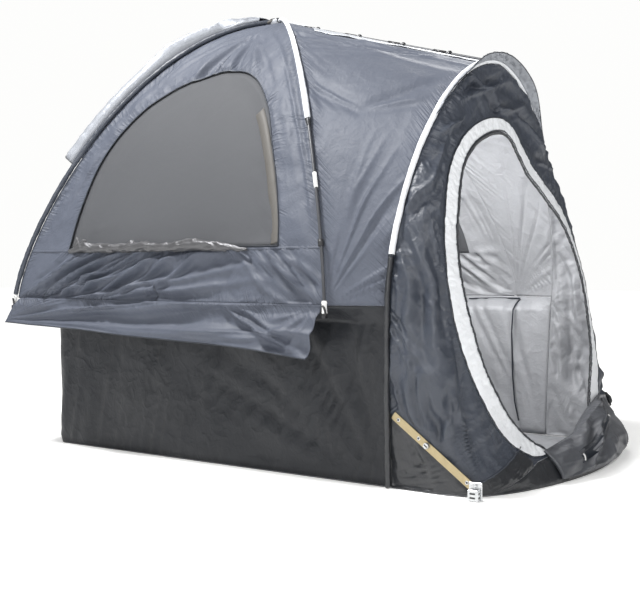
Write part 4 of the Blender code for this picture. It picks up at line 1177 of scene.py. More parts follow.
def blacken_base(wall, p, plain, stay, flap, black):
    """The black cloth of the wall's foot: under the stay, and under the hem that rises from its lower end."""
    q, z = (np.abs((p[:-1, :, 0] + p[1:, :, 0]) / 2), (p[:-1, :, 1] + p[1:, :, 1]) / 2)
    x = np.abs((plain[:-1, :, 0] + plain[1:, :, 0]) / 2)
    y = (plain[:-1, :, 1] + plain[1:, :, 1]) / 2
    slope = (stay[0, 1] - stay[1, 1]) / (stay[0, 0] - stay[1, 0])
    under_stay = (x > 0.55) & (z < stay[0, 1] + slope * (y - stay[0, 0]))
    (q0, z0), (q1, z1) = flap
    under_flap = (q < q0) & (q > q1) & (z < z0 + (q - q0) * (z1 - z0) / (q1 - q0))
    which = np.zeros(len(wall.data.polygons), dtype=np.int32)
    wall.data.polygons.foreach_get("material_index", which)
    chosen = np.repeat((under_stay | under_flap).reshape(-1), 2)
    which[:len(chosen)][chosen] = len(wall.data.materials)
    wall.data.materials.append(black)
    wall.data.polygons.foreach_set("material_index", which)


def door_wall(mats):
    z = np.linspace(ARCH_Z - 0.0008, LOW_Z, 200)
    leg = np.interp(z, skin.z, skin.half) - 0.0006
    side = np.stack([leg, z], 1)
    x = np.linspace(0.632, 0, 60)
    low = skin.flat(np.stack([x, np.maximum(np.interp(x, SILL_X, SILL_TOP), LOW_Z)], 1))
    half = np.vstack([side, low])
    rim_outline = np.vstack([half, (half * [-1, 1])[::-1][1:]])
    outline = skin.flat(door_outline)
    panel = holed_panel(skin.base, door_relief, outline, rim_outline, DOOR_CENTRE, (0, -1, 0.15), 201)
    leg_foot = (skin.half[0], LOW_Z)
    corners = [leg_foot, (-leg_foot[0], LOW_Z), rim_outline[0], outline[0], outline[-1]]
    turn = turns(560, corners, panel.centre)
    way = np.stack([np.cos(turn), np.sin(turn)], 1)
    ri, ro = panel.hole.radius(turn), panel.rim.radius(turn)
    p = panel.centre + way[None] * (ri + (ro - ri) * spaced(44, 0.4)[:, None])[..., None]
    out = np.sign(p[..., 0]) * smooth(0.0, 0.4, np.abs(p[..., 0]))
    panel.outward = np.array([0.0, -1.0, 0.15])
    plain = skin.base(p)
    n = calmed(around(plain, np.stack([out * 0.9, -np.ones_like(out), 0.15 * np.ones_like(out)], -1)), 14)
    h = panel.relief(p)
    stay = np.array([(0.0, 0.240), (-0.278, 0.036)])
    run = unit(stay[1] - stay[0])
    d = plain[..., 1:] - stay[0]
    along = np.clip(d @ run, -0.02, 0.365)
    off = np.linalg.norm(d - along[..., None] * run, axis=-1)
    pressed = smooth(0.042, 0.016, off) * (np.abs(plain[..., 0]) > 0.55)
    h = h * (1 - pressed) - 0.0004 * pressed
    front = plain + n * h[..., None]
    back = plain + n * (h - CLOTH_T)[..., None]
    wall = slab("door_wall_cloth", front, back, [mats["dark"], mats["inner"]], p, True, seam_layers(panel, p))
    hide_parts("door_wall")
    flap = skin.flat(np.array([(0.625, 0.028), (0.370, 0.126)]))
    blacken_base(wall, p, plain, stay, flap, mats["black"])
    for side, sx in (("left", -1), ("right", 1)):
        hem = cord_on(f"wall_hem_{side}", panel, flap * [sx, 1], 0.0023, 0.0012, [mats["dark"]])

    def crinkled(q):
        d = q - panel.centre
        s = panel.hole.along(np.arctan2(d[..., 1], d[..., 0]))
        gap = panel.hole.radius(np.arctan2(d[..., 1], d[..., 0])) - np.hypot(d[..., 0], d[..., 1])
        h = 0.0024 * crest(noise(s / 0.014 + 0.5 * noise(s / 0.06, 0, 4), gap / 0.045, 77), 1.4)
        h += 0.0020 * crest(noise(s / 0.034, gap / 0.02, 78)) + 0.0012 * noise(s / 0.006, gap / 0.01, 79)
        return panel.relief(q) + h + 0.0026

    trim = Panel(skin.base, crinkled, (0, -1, 0.15))
    clear = Star(skin.flat(door_clear), DOOR_CENTRE)
    turn = np.radians(np.linspace(-67.5, 247.5, 640))
    inside = (turn + math.pi) % (2 * math.pi) - math.pi
    way = np.stack([np.cos(turn), np.sin(turn)], 1)
    r0, r1 = clear.radius(inside), panel.hole.radius(inside) + 0.004
    q = panel.centre + way[None] * (r0 + (r1 - r0) * np.linspace(0, 1, 10)[:, None])[..., None]
    ring = slab("door_trim_cloth", trim.at(q), trim.at(q, np.full(q.shape[:2], -CLOTH_T)), [mats["trim"]], q)
    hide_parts("door_trim")
    for name, offset, thick, lift in (
        ("outer", r1 - 0.001, 0.0018, 0.0004), ("inner", r0 + 0.001, 0.0018, 0.0002),
    ):
        path = panel.centre + way * offset[:, None]
        made = cord_on(f"door_trim_piping_{name}", trim, path, thick, lift, [mats["piping"]])
    path = panel.centre + way * (r0 - 0.0065)[:, None]
    tape = ribbon("door_zip_tape", trim, path, 0.014, -0.0035, [mats["black"]])
    teeth = tube(
        "door_zip_teeth", trim.at(resampled(path, 1000), np.full(1000, -0.0028)), 0.0024, [mats["zip"]], 6,
        ruck=lambda s, a: 0.0008 * np.sin(s * 2 * math.pi / 0.009) + 0 * a,
    )
    rows = []
    for off in (0.006, 0.012):
        row = panel.centre + way * (r1 + off)[:, None]
        rows.append((panel.at(row, np.full(len(row), 0.0002)), panel.normal(row)))
    for off in (0.005, -0.003):
        row = panel.centre + way * ((r0 if off > 0 else r1) + off)[:, None]
        rows.append((trim.at(row, np.full(len(row), 0.0002)), trim.normal(row)))
    corner = skin.half[0] - 0.25
    for drop in (0.0, 0.012):
        row = resampled(np.array([(-corner, 0.062 - drop), (-0.45, 0.121 - drop)]), 120)
        rows.append((panel.at(row, np.full(len(row), 0.0002)), panel.normal(row)))
    sewing = stitches("stitching_door", rows, [mats["thread"]])
    declare(wall, plain, (2 * skin.half[0], ARCH_Z + 0.1), True)
    declare(ring, skin.base(q), (0.065, 2.9))
    return panel


def door_sill(mats):
    x = np.linspace(-0.572, 0.572, 200)[None] * np.ones((18, 1))
    top = np.interp(x, SILL_X, SILL_TOP) - 0.0008
    z = LOW_Z + (np.maximum(top, LOW_Z + 0.001) - LOW_Z) * np.linspace(0, 1, 18)[:, None]
    plain = np.stack([x, skin_y(x, z), z], -1)
    n = around(plain, np.array([0, -1, 0.2]))
    p = np.stack([x, z], -1)
    edge = smooth(0, 0.006, z - LOW_Z) * smooth(0, 0.010, top - z)
    h = 0.0060 * crest(noise(z / 0.030 + 0.8 * noise(x / 0.2, 0, 3), x / 0.16, 301)) + rumple(p, 0.05, 0.0030, 302)
    h = h * edge
    made = slab(
        "door_sill_cloth", plain + n * h[..., None], plain + n * (h - CLOTH_T)[..., None], [mats["black"]], p
    )
    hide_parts("door_sill")
    declare(made, plain, (1.25, 0.09))


class Bunch:
    """The unzipped door panel, gathered over the sill. Its flat coordinates are X and metres up."""

    LOW = 0.012

    def top(self, x):
        return np.interp(x, [-0.26, 0.02, 0.30, 0.45, 0.575], [0.098, 0.118, 0.180, 0.212, 0.200])

    def base(self, p):
        z = self.LOW + p[..., 1]
        return np.stack([p[..., 0], skin_y(p[..., 0], z), z], -1)

    def normal(self, p):
        e = 2e-3
        du = self.base(p + [e, 0]) - self.base(p - [e, 0])
        dv = self.base(p + [0, e]) - self.base(p - [0, e])
        n = unit(np.cross(du, dv))
        n[n[..., 1] > 0] *= -1
        return n

    def height(self, p):
        x = p[..., 0]
        s = np.clip(p[..., 1] / (self.top(x) - self.LOW), 0, 1)
        t = np.clip((x + 0.26) / 0.835, 0, 1)
        along = np.sin(0.16 + t * (math.pi - 0.32)) ** 0.5
        body = np.sin(0.30 + s * (math.pi - 0.45)) ** 0.6
        fat = (0.012 + 0.042 * body) * along
        across = s * 3.6 + 1.1 * noise(x / 0.20, 0, 411) - 2.2 * t
        folds = 0.036 * crest(noise(across, x / 0.26, 412), 1.5)
        folds += 0.007 * crest(noise(s * 7 + 6 * x, x / 0.20, 413), 1.2)
        folds += 0.010 * crest(noise(x / 0.030 + s * 2.5, s * 1.3, 414), 1.5) * smooth(0.55, 0.95, s)
        folds += 0.010 * crest(noise(x / 0.045 - s * 2, s * 1.1, 416), 1.5) * smooth(0.45, 0.1, s)
        q = np.stack([x, p[..., 1] * 1.3], -1)
        folds += rumple(q, 0.07, 0.0012, 415, (1, 1), 1.2)
        edge = smooth(0, 0.10, s) * smooth(1, 0.93, s) * smooth(0, 0.04, t) * smooth(1, 0.96, t)
        return np.maximum(0.0045 + fat * (0.55 + 0.45 * edge) + (folds - 0.008) * edge * along, 0.006)

    def at(self, p, lift=0.0):
        p = np.asarray(p, float)
        return self.base(p) + self.normal(p) * (self.height(p) + lift)[..., None]


def door_panel(mats):
    bunch = Bunch()
    x = np.linspace(-0.26, 0.575, 210)[None] * np.ones((56, 1))
    p = np.stack([x, (bunch.top(x) - bunch.LOW) * spaced(56, 0.5)[:, None]], -1)
    front = bunch.at(p)
    back = bunch.base(p) + bunch.normal(p) * 0.0036
    # The bunch takes the panel cloth: black cloth lightened with painted sheen.
    made = slab("door_panel_bunch", front, back, [mats["panel"]], p)
    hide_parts("door_panel")
    path = smooth_path([(-0.13, 0.036), (0.05, 0.052), (0.22, 0.088), (0.37, 0.130), (0.47, 0.175)], 10)
    for side, off in (("low", -0.006), ("high", 0.006)):
        made = cord_on(f"panel_zip_{side}", bunch, path + [0, off], 0.0022, 0.0012, [mats["zip"]], 6)
    tape = ribbon("panel_zip_tape", bunch, path, 0.026, 0.0008, [mats["piping"]])
    for number, at in enumerate(((-0.12, 0.040), (0.29, 0.108))):
        here = np.array([at])
        foot, n = bunch.at(here)[0], bunch.normal(here)[0]
        run = np.array([foot + n * 0.003, foot + n * 0.007 + [0.002, -0.002, -0.010], foot + n * 0.008 + [0.004, -0.003, -0.026]])
        pull = tube(f"zip_puller_{number + 1}", smooth_path(run, 6), 0.0026, [mats["white_plastic"]], 10)


# Tub, floor and skirts


def tub_line(inset, count):
    """The tub's outline from the left leg round the cab end to the right leg."""
    w, f, r = TUB_HALF_W - inset, TUB_FRONT_Y - inset, CORNER_R
    a = np.linspace(0, math.pi / 2, 24)
    left = np.vstack([
        [(-w, 0.0)], np.stack([-w + r - r * np.cos(a), f - r + r * np.sin(a)], 1),
    ])
    return resampled(np.vstack([left, (left * [-1, 1])[::-1]]), count)


def tub_grid(z, inset, count):
    line = tub_line(inset, count)
    x, y = line[None, :, 0], line[None, :, 1]
    z = z[:, None]
    spread = np.interp(z, [0.0, 0.535, 0.560, 0.5845], [0, 0, 0.35, 1.0])
    start = arch_y(z) + 0.0006
    end = TUB_FRONT_Y - inset
    yy = start + y * (end - start) / end
    lean = (arch_half(z) - TUB_HALF_W) * np.maximum(0, 1 - (yy - start) / 0.18)
    g = np.clip((yy - start) / (DOME_REAR_Y - start), 0, 1)
    flap = DOME_HALF_W - 0.001 - TUB_HALF_W
    ends = np.maximum(0, (yy - (TUB_FRONT_Y - 0.4)) / 0.4)
    px = x + np.sign(x) * (spread * flap * g + lean) * np.minimum(np.abs(x) / (TUB_HALF_W - CORNER_R), 1)
    return np.stack([px, yy + spread * FLARE * ends**2 * 0.98, z + 0 * x], -1)


def tub(mats):
    z = np.concatenate([np.linspace(LOW_Z, 0.526, 20), np.linspace(0.535, 0.5845, 9), [RAIL_Z - 0.0004]])
    plain = tub_grid(z, 0.0008, 400)
    run = lengths(tub_line(0.0, 400))
    s, h = run[None] + 0 * z[:, None], z[:, None] + 0 * run[None]
    n = facing_out(plain, np.stack([plain[..., 0], plain[..., 1] - 0.8, 0 * s], -1))
    p = np.stack([s, h], -1)
    fold = 0.0075 * fbm(s / 0.26, h / 0.30, 501, 2) + 0.0070 * crest(noise(s / 0.050 + 0.5 * h / 0.1, h / 0.5, 502))
    fold += gathers(np.maximum(0.535 - h, 0), s, 0.030, 0.080, 0.0075, 503, 0.4)
    fold += gathers(np.maximum(h, 0), s, 0.036, 0.060, 0.0065, 504, -0.5) + rumple(p, 0.08, 0.0022, 505)
    for at, start, end in ((0.02, 8, 88), (run[-1] - 0.02, 92, 172)):
        fold += fan(p, (at, 0.0), start, end, 17, 1.10, 0.0180, 506 + end, 0.03, 2.2)
    wall_end = np.minimum(s, run[-1] - s)
    fold = fold * smooth(0, 0.03, wall_end) * smooth(0.5845, 0.560, h) * smooth(LOW_Z, 0.03, h)
    # The outer face takes the tub cloth, whose near-black colour is partly painted shade from the skirt above.
    made = slab(
        "tub_wall_cloth", plain + n * fold[..., None], plain + n * (fold - CLOTH_T)[..., None],
        [mats["tub"], mats["inner"]], p,
    )
    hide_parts("tub_wall")
    declare(made, plain, (run[-1], 0.68))
    for side, sx in (("left", -1), ("right", 1)):
        line = [(0.413, 0.575), (0.30, 0.580), (0.164, 0.580), (0.172, 0.44), (0.166, 0.241), (0.156, 0.137), (0.137, 0.056)]
        path = resampled(np.array(line), 90)
        level = np.clip(path[:, 1], LOW_Z, 0.5845)
        x = [
            np.interp(y, grid[:, 1], np.abs(grid[:, 0]))
            for y, grid in ((y, tub_grid(np.array([v]), 0.0008, 260)[0][:100]) for (y, _), v in zip(path, level))
        ]
        points = np.stack([sx * (np.array(x) - 0.0165), path[:, 0], level], 1)
        cord = tube(f"inner_piping_{side}", points, 0.0032, [mats["piping"]], 8)


def floor(mats):
    share = np.linspace(-1, 1, 90)
    x = np.sign(share) * (TUB_HALF_W - 0.0015) * np.abs(share) ** 0.85
    front = skin_y(x * 0.998, np.full(len(x), 0.004)) + 0.0015
    over = np.maximum(np.abs(x) - (TUB_HALF_W - CORNER_R), 0)
    back = TUB_FRONT_Y - 0.0015 - CORNER_R + np.sqrt(np.maximum(CORNER_R**2 - over**2, 0))
    y = front[None] + (back - front)[None] * np.linspace(0, 1, 100)[:, None]
    x = x[None] + 0 * y
    p = np.stack([x, y], -1)
    edge = smooth(0, 0.04, y - front) * smooth(0, 0.04, back - y) * smooth(0, 0.03, TUB_HALF_W - np.abs(x))
    h = 0.0019 + edge * (0.0042 * np.maximum(crest(noise(x / 0.09 + 0.5 * y, y / 0.30, 601)) + 0.3, 0) + np.maximum(
        rumple(p, 0.07, 0.0030, 602) + 0.0008, 0))
    made = slab(
        "floor_cloth", np.stack([x, y, h], -1), np.stack([x, y, np.full_like(x, 0.0002)], -1),
        [mats["inner"], mats["black"]], p,
    )
    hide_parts("floor")
    declare(made, np.stack([x, y, 0 * x], -1), (2 * TUB_HALF_W, 2.1), ease=1.01)


def skirt_grid(rows, cols):
    top = smooth_path([(0.216, 0.592), (0.6, 0.592), (1.1, 0.592), (DOME_FRONT_Y - 0.022, 0.592)], 120)
    hem = smooth_path([(0.248, 0.412), (0.56, 0.440), (1.1, 0.462), (1.752, 0.492)], 120)
    f = np.linspace(0, 1, rows)[:, None, None]
    return resampled(top, cols)[None] * (1 - f) + resampled(hem, cols)[None] * f, f[..., 0] + np.zeros((1, cols))


def skirts(mats):
    for side, sx in (("left", -1), ("right", 1), ("front", 0)):
        if sx:
            p, f = skirt_grid(30, 260)
            y, z = p[..., 0], p[..., 1]
            h = 0.0045 * fbm(y / 0.22, z / 0.12, 700 + sx, 2)
            h += fan(p, (1.785, 0.500), 150, 187, 26, 2.60, 0.0150, 702 + sx, 0.03, 2.2)
            h += fan(p, (1.785, 0.500), 164, 196, 9, 2.60, 0.0180, 712 + sx, 0.03, 2.0)
            h += fan(p, (0.232, 0.585), 290, 350, 5, 0.30, 0.0080, 704 + sx)
            h += groove(p, (0.66, 0.592), (0.27, 0.425), 0.020, 0.0085, 705 + sx)
            h += groove(p, (0.60, 0.588), (0.29, 0.470), 0.016, 0.0050, 706 + sx)
            h += gathers(np.maximum(0.592 - z, 0), y, 0.026, 0.030, 0.0060, 708 + sx, 0.9)
            h += 0.0030 * smooth(0.5, 1, f) * noise(y / 0.10, 0, 709 + sx)
            h = np.maximum(1.9 * h * smooth(0, 0.06, f) + 0.0130 * smooth(0, 0.35, f), -0.0035)
            x = DOME_HALF_W + 0.0046 + 0.026 * f**1.3
            plain = np.stack([sx * x, y, z], -1)
            n = around(plain, np.array([sx, 0, 0.1]))
            along, flat, rest = y + 0.9 * (0.592 - z), (1.55, 0.18), f"side_wall_{side}_cloth"
        else:
            x = np.linspace(-DOME_HALF_W + 0.012, DOME_HALF_W - 0.012, 170)[None] * np.ones((20, 1))
            f = np.linspace(0, 1, 20)[:, None] * np.ones((1, 170))
            z = 0.592 - 0.105 * f
            p = np.stack([x, z], -1)
            h = 0.0040 * fbm(x / 0.22, z / 0.12, 720, 2)
            h += fan(p, (0.76, 0.480), 160, 190, 6, 1.8, 0.0160, 721) + fan(p, (-0.76, 0.480), -10, 20, 6, 1.8, 0.0160, 722)
            h += gathers(np.maximum(0.592 - z, 0), x, 0.026, 0.030, 0.0060, 723, 0.9)
            h += 0.0060 * smooth(0.5, 1, f) * noise(x / 0.10, 0, 724)
            h = np.maximum(h * smooth(0, 0.06, f), -0.0035)
            plain = np.stack([x, DOME_FRONT_Y + 0.0046 + 0.030 * f**1.3, z], -1)
            n = around(plain, np.array([0, 1, 0.1]))
            along, flat, rest = x, (1.50, 0.11), "front_wall_cloth"
        front = plain + n * h[..., None]
        made = slab(
            f"skirt_{side}_cloth", front, plain + n * (h - CLOTH_T)[..., None], [mats["shell"], mats["dark"]], p,
            seams=(np.stack([along, 0.592 - z], -1), np.stack([along, 0.5 + 0 * z], -1)),
        )
        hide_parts(f"skirt_{side}")
        rows = []
        for row in (-3, -2, 2):
            rows.append((front[row] + n[row] * 0.0002, n[row]))
        sewing = stitches(f"stitching_skirt_{side}", rows, [mats["thread"]])
        hem = tube(f"skirt_hem_{side}", front[-1] - n[-1] * 0.0006, 0.0019, [mats["piping"]], 8)
        declare(made, plain, flat)


# Poles, sleeves and the silver pieces


def facing(run, along, towards):
    out = np.cross(run, along)
    if out @ towards < 0:
        out = -out
    return out / np.linalg.norm(out)


def outward_dome(k, sx, sy, offset, second=0.0):
    """A point off the seam by the offset, and by a second one square to the next panel."""
    e = 0.002
    here = dome_seam(k, sx, sy)
    run = unit(dome_seam(min(k + e, 1), sx, sy) - dome_seam(max(k - e, 0), sx, sy))
    towards = np.array([sx * 0.5, sy * 0.5, 0.7])
    side = facing(run, np.array([0.0, 1.0, 0.0]), towards)
    if sy > 0:
        other = facing(run, np.array([1.0, 0.0, 0.0]), towards)
    else:
        z = RAIL_Z + k * (ARCH_Z - RAIL_Z)
        far = np.array([sx * arch_half(z), arch_y(z), z])
        other = facing(run, unit(far - here), np.array([sx * 0.5, 0, 0.7]))
    return here + unit(side + other) * offset + other * second


def pole_path(sx, sy, k_from, k_to, offset, steps):
    turn = np.linspace(math.asin(k_from), math.asin(k_to), steps)
    return np.array([outward_dome(math.sin(t), sx, sy, offset) for t in turn])


def reach_k(distance):
    return (1 - (distance / math.hypot(DOME_HALF_W, DOME_HALF_L)) ** 1.8) ** (1 / 1.35)


def rucks(pitch, depth, seed):
    def ruck(s, a):
        wave = crest(noise(s / pitch + 0.4 * np.cos(a), 1.3 * np.cos(a) + 2, seed), 1.3)
        return depth * wave + depth * 0.5 * noise(s / pitch / 2.3, 2 * np.sin(a) + 5, seed + 1)

    return ruck


def sleeves(mats):
    hub_k = reach_k(HUB_R + 0.0020)
    end_k = (SLEEVE_END_Z - RAIL_Z) / (APEX_Z - RAIL_Z)
    for side, sx in (("left", -1), ("right", 1)):
        path = pole_path(sx, -1, end_k, hub_k, SLEEVE_R + 0.0006, 120)
        run = lengths(path)
        radius = np.interp(run, [0, 0.012, 0.10, run[-1] * 0.6, run[-1]], [0.0085, 0.0108, 0.0112, 0.0090, 0.0072])
        made = tube(
            f"sleeve_rear_{side}_cloth", path, radius, [mats["white"]], 14, ruck=rucks(0.020, 0.0011, 31 + sx),
            hollow=True,
        )
        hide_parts(f"sleeve_rear_{side}")
        end = pole_path(sx, -1, end_k - 0.012, end_k + 0.010, SLEEVE_R + 0.0006, 12)
        cuff = tube(f"sleeve_cuff_{side}", end, np.linspace(0.0068, 0.0112, 12), [mats["black"]], 16)
        path = pole_path(sx, 1, 0.012, hub_k, FRONT_SLEEVE_R + 0.0006, 170)
        made = tube(
            f"sleeve_front_{side}_cloth", path, FRONT_SLEEVE_R - 0.0008, [mats["dark"]], 14,
            ruck=rucks(0.013, 0.0018, 35 + sx), hollow=True,
        )
        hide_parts(f"sleeve_front_{side}")
        for number, k in enumerate((0.36, 0.175)):
            here = outward_dome(k, sx, -1, SLEEVE_R + 0.0006)
            ahead = outward_dome(k + 0.01, sx, -1, SLEEVE_R + 0.0006)
            run = unit(ahead - here)
            if number == 0:
                made = tube(f"ferrule_{side}", [here - run * 0.030, here + run * 0.030], 0.0072, [mats["white_plastic"]], 16)
                continue
            ring = tube(f"pole_clip_{side}", [here - run * 0.011, here + run * 0.011], 0.0098, [mats["black_plastic"]], 16)
            root = dome_seam(np.array(k), sx, -1)
            strap = tube(
                f"clip_strap_{side}", smooth_path([here, (here + root) / 2 + [0, 0.004, -0.004], root], 6), 0.0045,
                [mats["black"]], 10, squash=0.45,
            )


def arch_line(z, offset):
    """Left half of the arch, moved outwards in its own plane, for heights in an array."""
    e = 0.0015
    up, low = np.minimum(z + e, ARCH_Z), np.maximum(z - e, 0)
    run = unit(np.stack([-arch_half(up) + arch_half(low), up - low], -1))
    return np.stack([-arch_half(z) - run[:, 1] * offset, arch_y(z) + 0 * z, z + run[:, 0] * offset], -1)


def arch_round(low_z, offset, steps):
    z = low_z + (ARCH_Z - low_z) * np.sin(np.linspace(0, math.pi / 2, steps))
    half = arch_line(z[:-1], offset)
    top = [[0, arch_y(ARCH_Z), ARCH_Z + (offset if np.ndim(offset) == 0 else offset[-1])]]
    return np.vstack([half, top, mirror(half[::-1])])


def arch_pieces(mats):
    path = arch_round(ARCH_SLEEVE_END_Z, ARCH_SLEEVE_R + 0.0006, 160)
    made = tube("arch_sleeve_cloth", path, ARCH_SLEEVE_R - 0.0004, [mats["white"]], 16, ruck=rucks(0.022, 0.0015, 61), hollow=True)
    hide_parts("arch_sleeve")
    for side, sx in (("left", 1), ("right", -1)):
        hem = arch_line(np.linspace(ARCH_SLEEVE_END_Z - 0.001, ARCH_SLEEVE_END_Z + 0.007, 6), ARCH_SLEEVE_R + 0.0006)
        made = tube(f"arch_cuff_{side}", hem * [sx, 1, 1], ARCH_SLEEVE_R + 0.0008, [mats["piping"]], 20)
        z = np.linspace(0.004, ARCH_SLEEVE_END_Z - 0.0006, 110)
        off = ARCH_SLEEVE_R + 0.0006 + 0.0012 * np.clip((0.70 - z) / 0.08, 0, 1)
        z0, z1 = np.maximum(z - 0.0015, 0), z + 0.0015
        run = unit(np.stack([-arch_half(z1) + arch_half(z0), z1 - z0], -1))
        path = np.stack([-arch_half(z) - run[:, 1] * off, arch_y(z), z + run[:, 0] * off], -1) * [sx, 1, 1]
        made = tube(
            f"leg_channel_{side}_cloth", path, ARCH_SLEEVE_R - 0.0012, [mats["black"]], 14, ruck=rucks(0.030, 0.0020, 64 + sx),
            hollow=True,
        )
        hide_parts(f"leg_channel_{side}")
    rings = []
    share = np.linspace(0, 1, 12)
    for f in share:
        ring = arch_round(SLEEVE_END_Z, 0.0118, 150)
        wide = arch_round(SLEEVE_END_Z, 0.0118 + EAVE_FLARE * f**0.85, 150)
        run = lengths(ring)
        taper = (0.15 + 0.85 * smooth(-0.02, 0.30, np.minimum(run, run[-1] - run)))[:, None]
        ring = ring + (wide - ring) * taper
        ring[:, 1:2] -= ARCH_SLEEVE_R + 0.0006 + EAVE_D * f * taper
        rings.append(ring)
    plain = np.array(rings)
    n = around(plain, plain - [0, 0, 1.0])
    s = np.broadcast_to(lengths(plain[0])[None], plain.shape[:2])
    f = np.broadcast_to(share[:, None], plain.shape[:2])
    ends = smooth(0, 0.05, np.minimum(s, s[0, -1] - s))
    h = 0.0060 * crest(noise(s / 0.026 + 0.6 * f, f * 1.3, 71), 1.6) * smooth(0.0, 0.35, f) * smooth(1.25, 0.7, f)
    h += 0.0020 * crest(noise(s / 0.009, f * 2, 72)) * smooth(0, 0.3, f) + 0.004 * noise(s / 0.12, 0, 73) * f
    h = h * ends + 0.0016
    front = plain + n * h[..., None]
    made = slab("arch_eave_cloth", front, plain + n * (h - CLOTH_T)[..., None], [mats["fly"]], np.stack([s, f * 0.04], -1))
    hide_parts("arch_eave")
    declare(made, plain, (0.042, 1.9))
    hem = tube("eave_hem", front[-1], 0.0021, [mats["piping"]], 8)


def visor(mats):
    top_k = reach_k(0.075)
    ks = 0.47 + (top_k - 0.47) * np.sin(np.linspace(0, math.pi / 2, 70))
    side = 1 - (1 - np.linspace(0, 1, 60)) ** 1.8
    fs = np.concatenate([side / 2, 1 - side[::-1][1:] / 2])
    g = np.minimum(fs, 1 - fs)
    offset, lift = FRONT_SLEEVE_R + 0.0006, FRONT_SLEEVE_R + 0.0016
    rows = []
    for k in ks:
        near = outward_dome(k, -1, 1, offset, lift)
        far = outward_dome(k, 1, 1, offset, lift)
        diag = outward_dome(k, -1, 1, 1.0) - dome_seam(k, -1, 1)
        front = facing(
            dome_seam(k + 0.002, 0, 1) - dome_seam(k - 0.002, 0, 1), np.array([1.0, 0, 0]), np.array([0, 0.5, 0.7])
        )
        span = min(abs(near[0]) / 0.30, 1)
        spread = float(np.interp(k, [0.47, 0.85], [1.55, 1.30]))
        rise = VISOR_RISE * spread * span * np.sqrt(1 - (1 - np.minimum(g / 0.10, 1)) ** 2)
        turn = (np.minimum(g / 0.14, 1) ** 0.8)[:, None]
        out = np.where((fs <= 0.5)[:, None], diag, mirror(diag)) * (1 - turn) + front * turn
        row = near + (far - near) * fs[:, None] + unit(out) * rise[:, None]
        rows.append(row + front * (0.028 * span * np.sin(math.pi * fs) ** 2)[:, None])
    plain = np.array(rows)
    n = around(plain, np.array([0, DOME_Y, 0.4]))
    across = np.array([lengths(row) for row in plain])
    edge = np.minimum(across, across[:, -1:] - across)
    up = lengths(plain[:, 59])[:, None] + 0 * across
    sideways = np.sign(fs - 0.5)[None] * 3.0
    h = 0.0052 * crest(noise(up / 0.021 + 0.5 * noise(up / 0.1, 0, 3), edge / 0.11 + sideways, 81), 1.5) * smooth(
        0.20, 0.03, edge)
    h += 0.0012 * crest(noise(up / 0.012, edge / 0.05 + sideways, 82)) * smooth(0.10, 0.01, edge)
    h += fan(np.stack([across - across[:, -1:] / 2, up], -1), (0, up.max() + 0.05), 215, 325, 14, 0.75, 0.0130, 83)
    h += 0.006 * fbm(across / 0.2, up / 0.2, 84, 2) + rumple(np.stack([across, up], -1), 0.06, 0.0026, 85)
    hem_gap = up
    h = h * smooth(0, 0.010, edge) * smooth(0, 0.02, up.max() - up) + 0.0024
    front = plain + n * np.maximum(h, 0.0012)[..., None]
    back = front - n * CLOTH_T
    made = slab("front_visor_cloth", front, back, [mats["fly"]], np.stack([across, hem_gap], -1))
    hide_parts("front_visor")
    declare(made, plain, (1.15, 1.0))
    hem = tube("visor_hem", front[0], 0.0024, [mats["rod"]], 8)
    rows = [(front[1] + n[1] * 0.0002, n[1])]
    rows += [(front[:, c] + n[:, c] * 0.0002, n[:, c]) for c in (16, -17)]
    sewing = stitches("stitching_visor", rows, [mats["thread"]])


def roof(panels, mats):
    grids = []
    v = np.linspace(0.165, 0.965, 110)[None]
    k = 0.9997 - (0.0397 - 0.0300 * smooth(0.15, 0.80, v)) * np.linspace(0, 1, 20)[:, None] ** 1.6
    for panel in panels:
        kk, vv = k + 0 * v, v + 0 * k
        p = panel.flat(kk, vv)
        gap = panel.up[-1] - p[..., 1]
        crumple = 0.0014 * crest(noise(p[..., 0] / 0.045 + 0.5 * noise(gap / 0.02, 0, 9), gap / 0.05, panel.seed), 1.3)
        crumple = (crumple + 0.0015) * smooth(0, 0.012, gap) * smooth(0.0, 0.012, gap.max() - gap)
        grids.append((panel.at(kk, vv, 0.0030 + crumple), panel.at(kk, vv, 0.0030 + crumple - CLOTH_T), panel.point(kk, vv)))
    front, back, plain = (np.vstack([grids[0][i][::-1], grids[1][i][1:]]) for i in range(3))
    made = slab("roof_strip_cloth", front, back, [mats["silver"]], plain[..., :2])
    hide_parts("roof_strip")
    declare(made, plain, (0.32, 0.78))
    n = unit(np.array([0, -(APEX_Z - ARCH_Z), DOME_Y + 0.05]))
    a = np.array([0, DOME_Y, APEX_Z]) + n * (0.0042 + POLE_R + 0.0006)
    b = np.array([0, arch_y(ARCH_Z), ARCH_Z]) + n * (0.0042 + POLE_R + 0.0006)
    run, total = unit(b - a), np.linalg.norm(b - a)
    for number, at in enumerate((0.16, 0.36, 0.56, 0.76)):
        mid = a + run * total * at
        made = tube(f"ridge_joint_{number + 1}", [mid - run * 0.026, mid + run * 0.026], 0.0076, [mats["black_plastic"]], 16)
        loop = [mid + [-0.016, 0, -0.009], mid + [-0.010, 0, 0.006], mid + [0, 0, 0.0105], mid + [0.010, 0, 0.006],
                mid + [0.016, 0, -0.009]]
        strap = tube(f"ridge_loop_{number + 1}", smooth_path(loop + run * 0.045, 6), 0.0042, [mats["black"]], 10, squash=0.4)


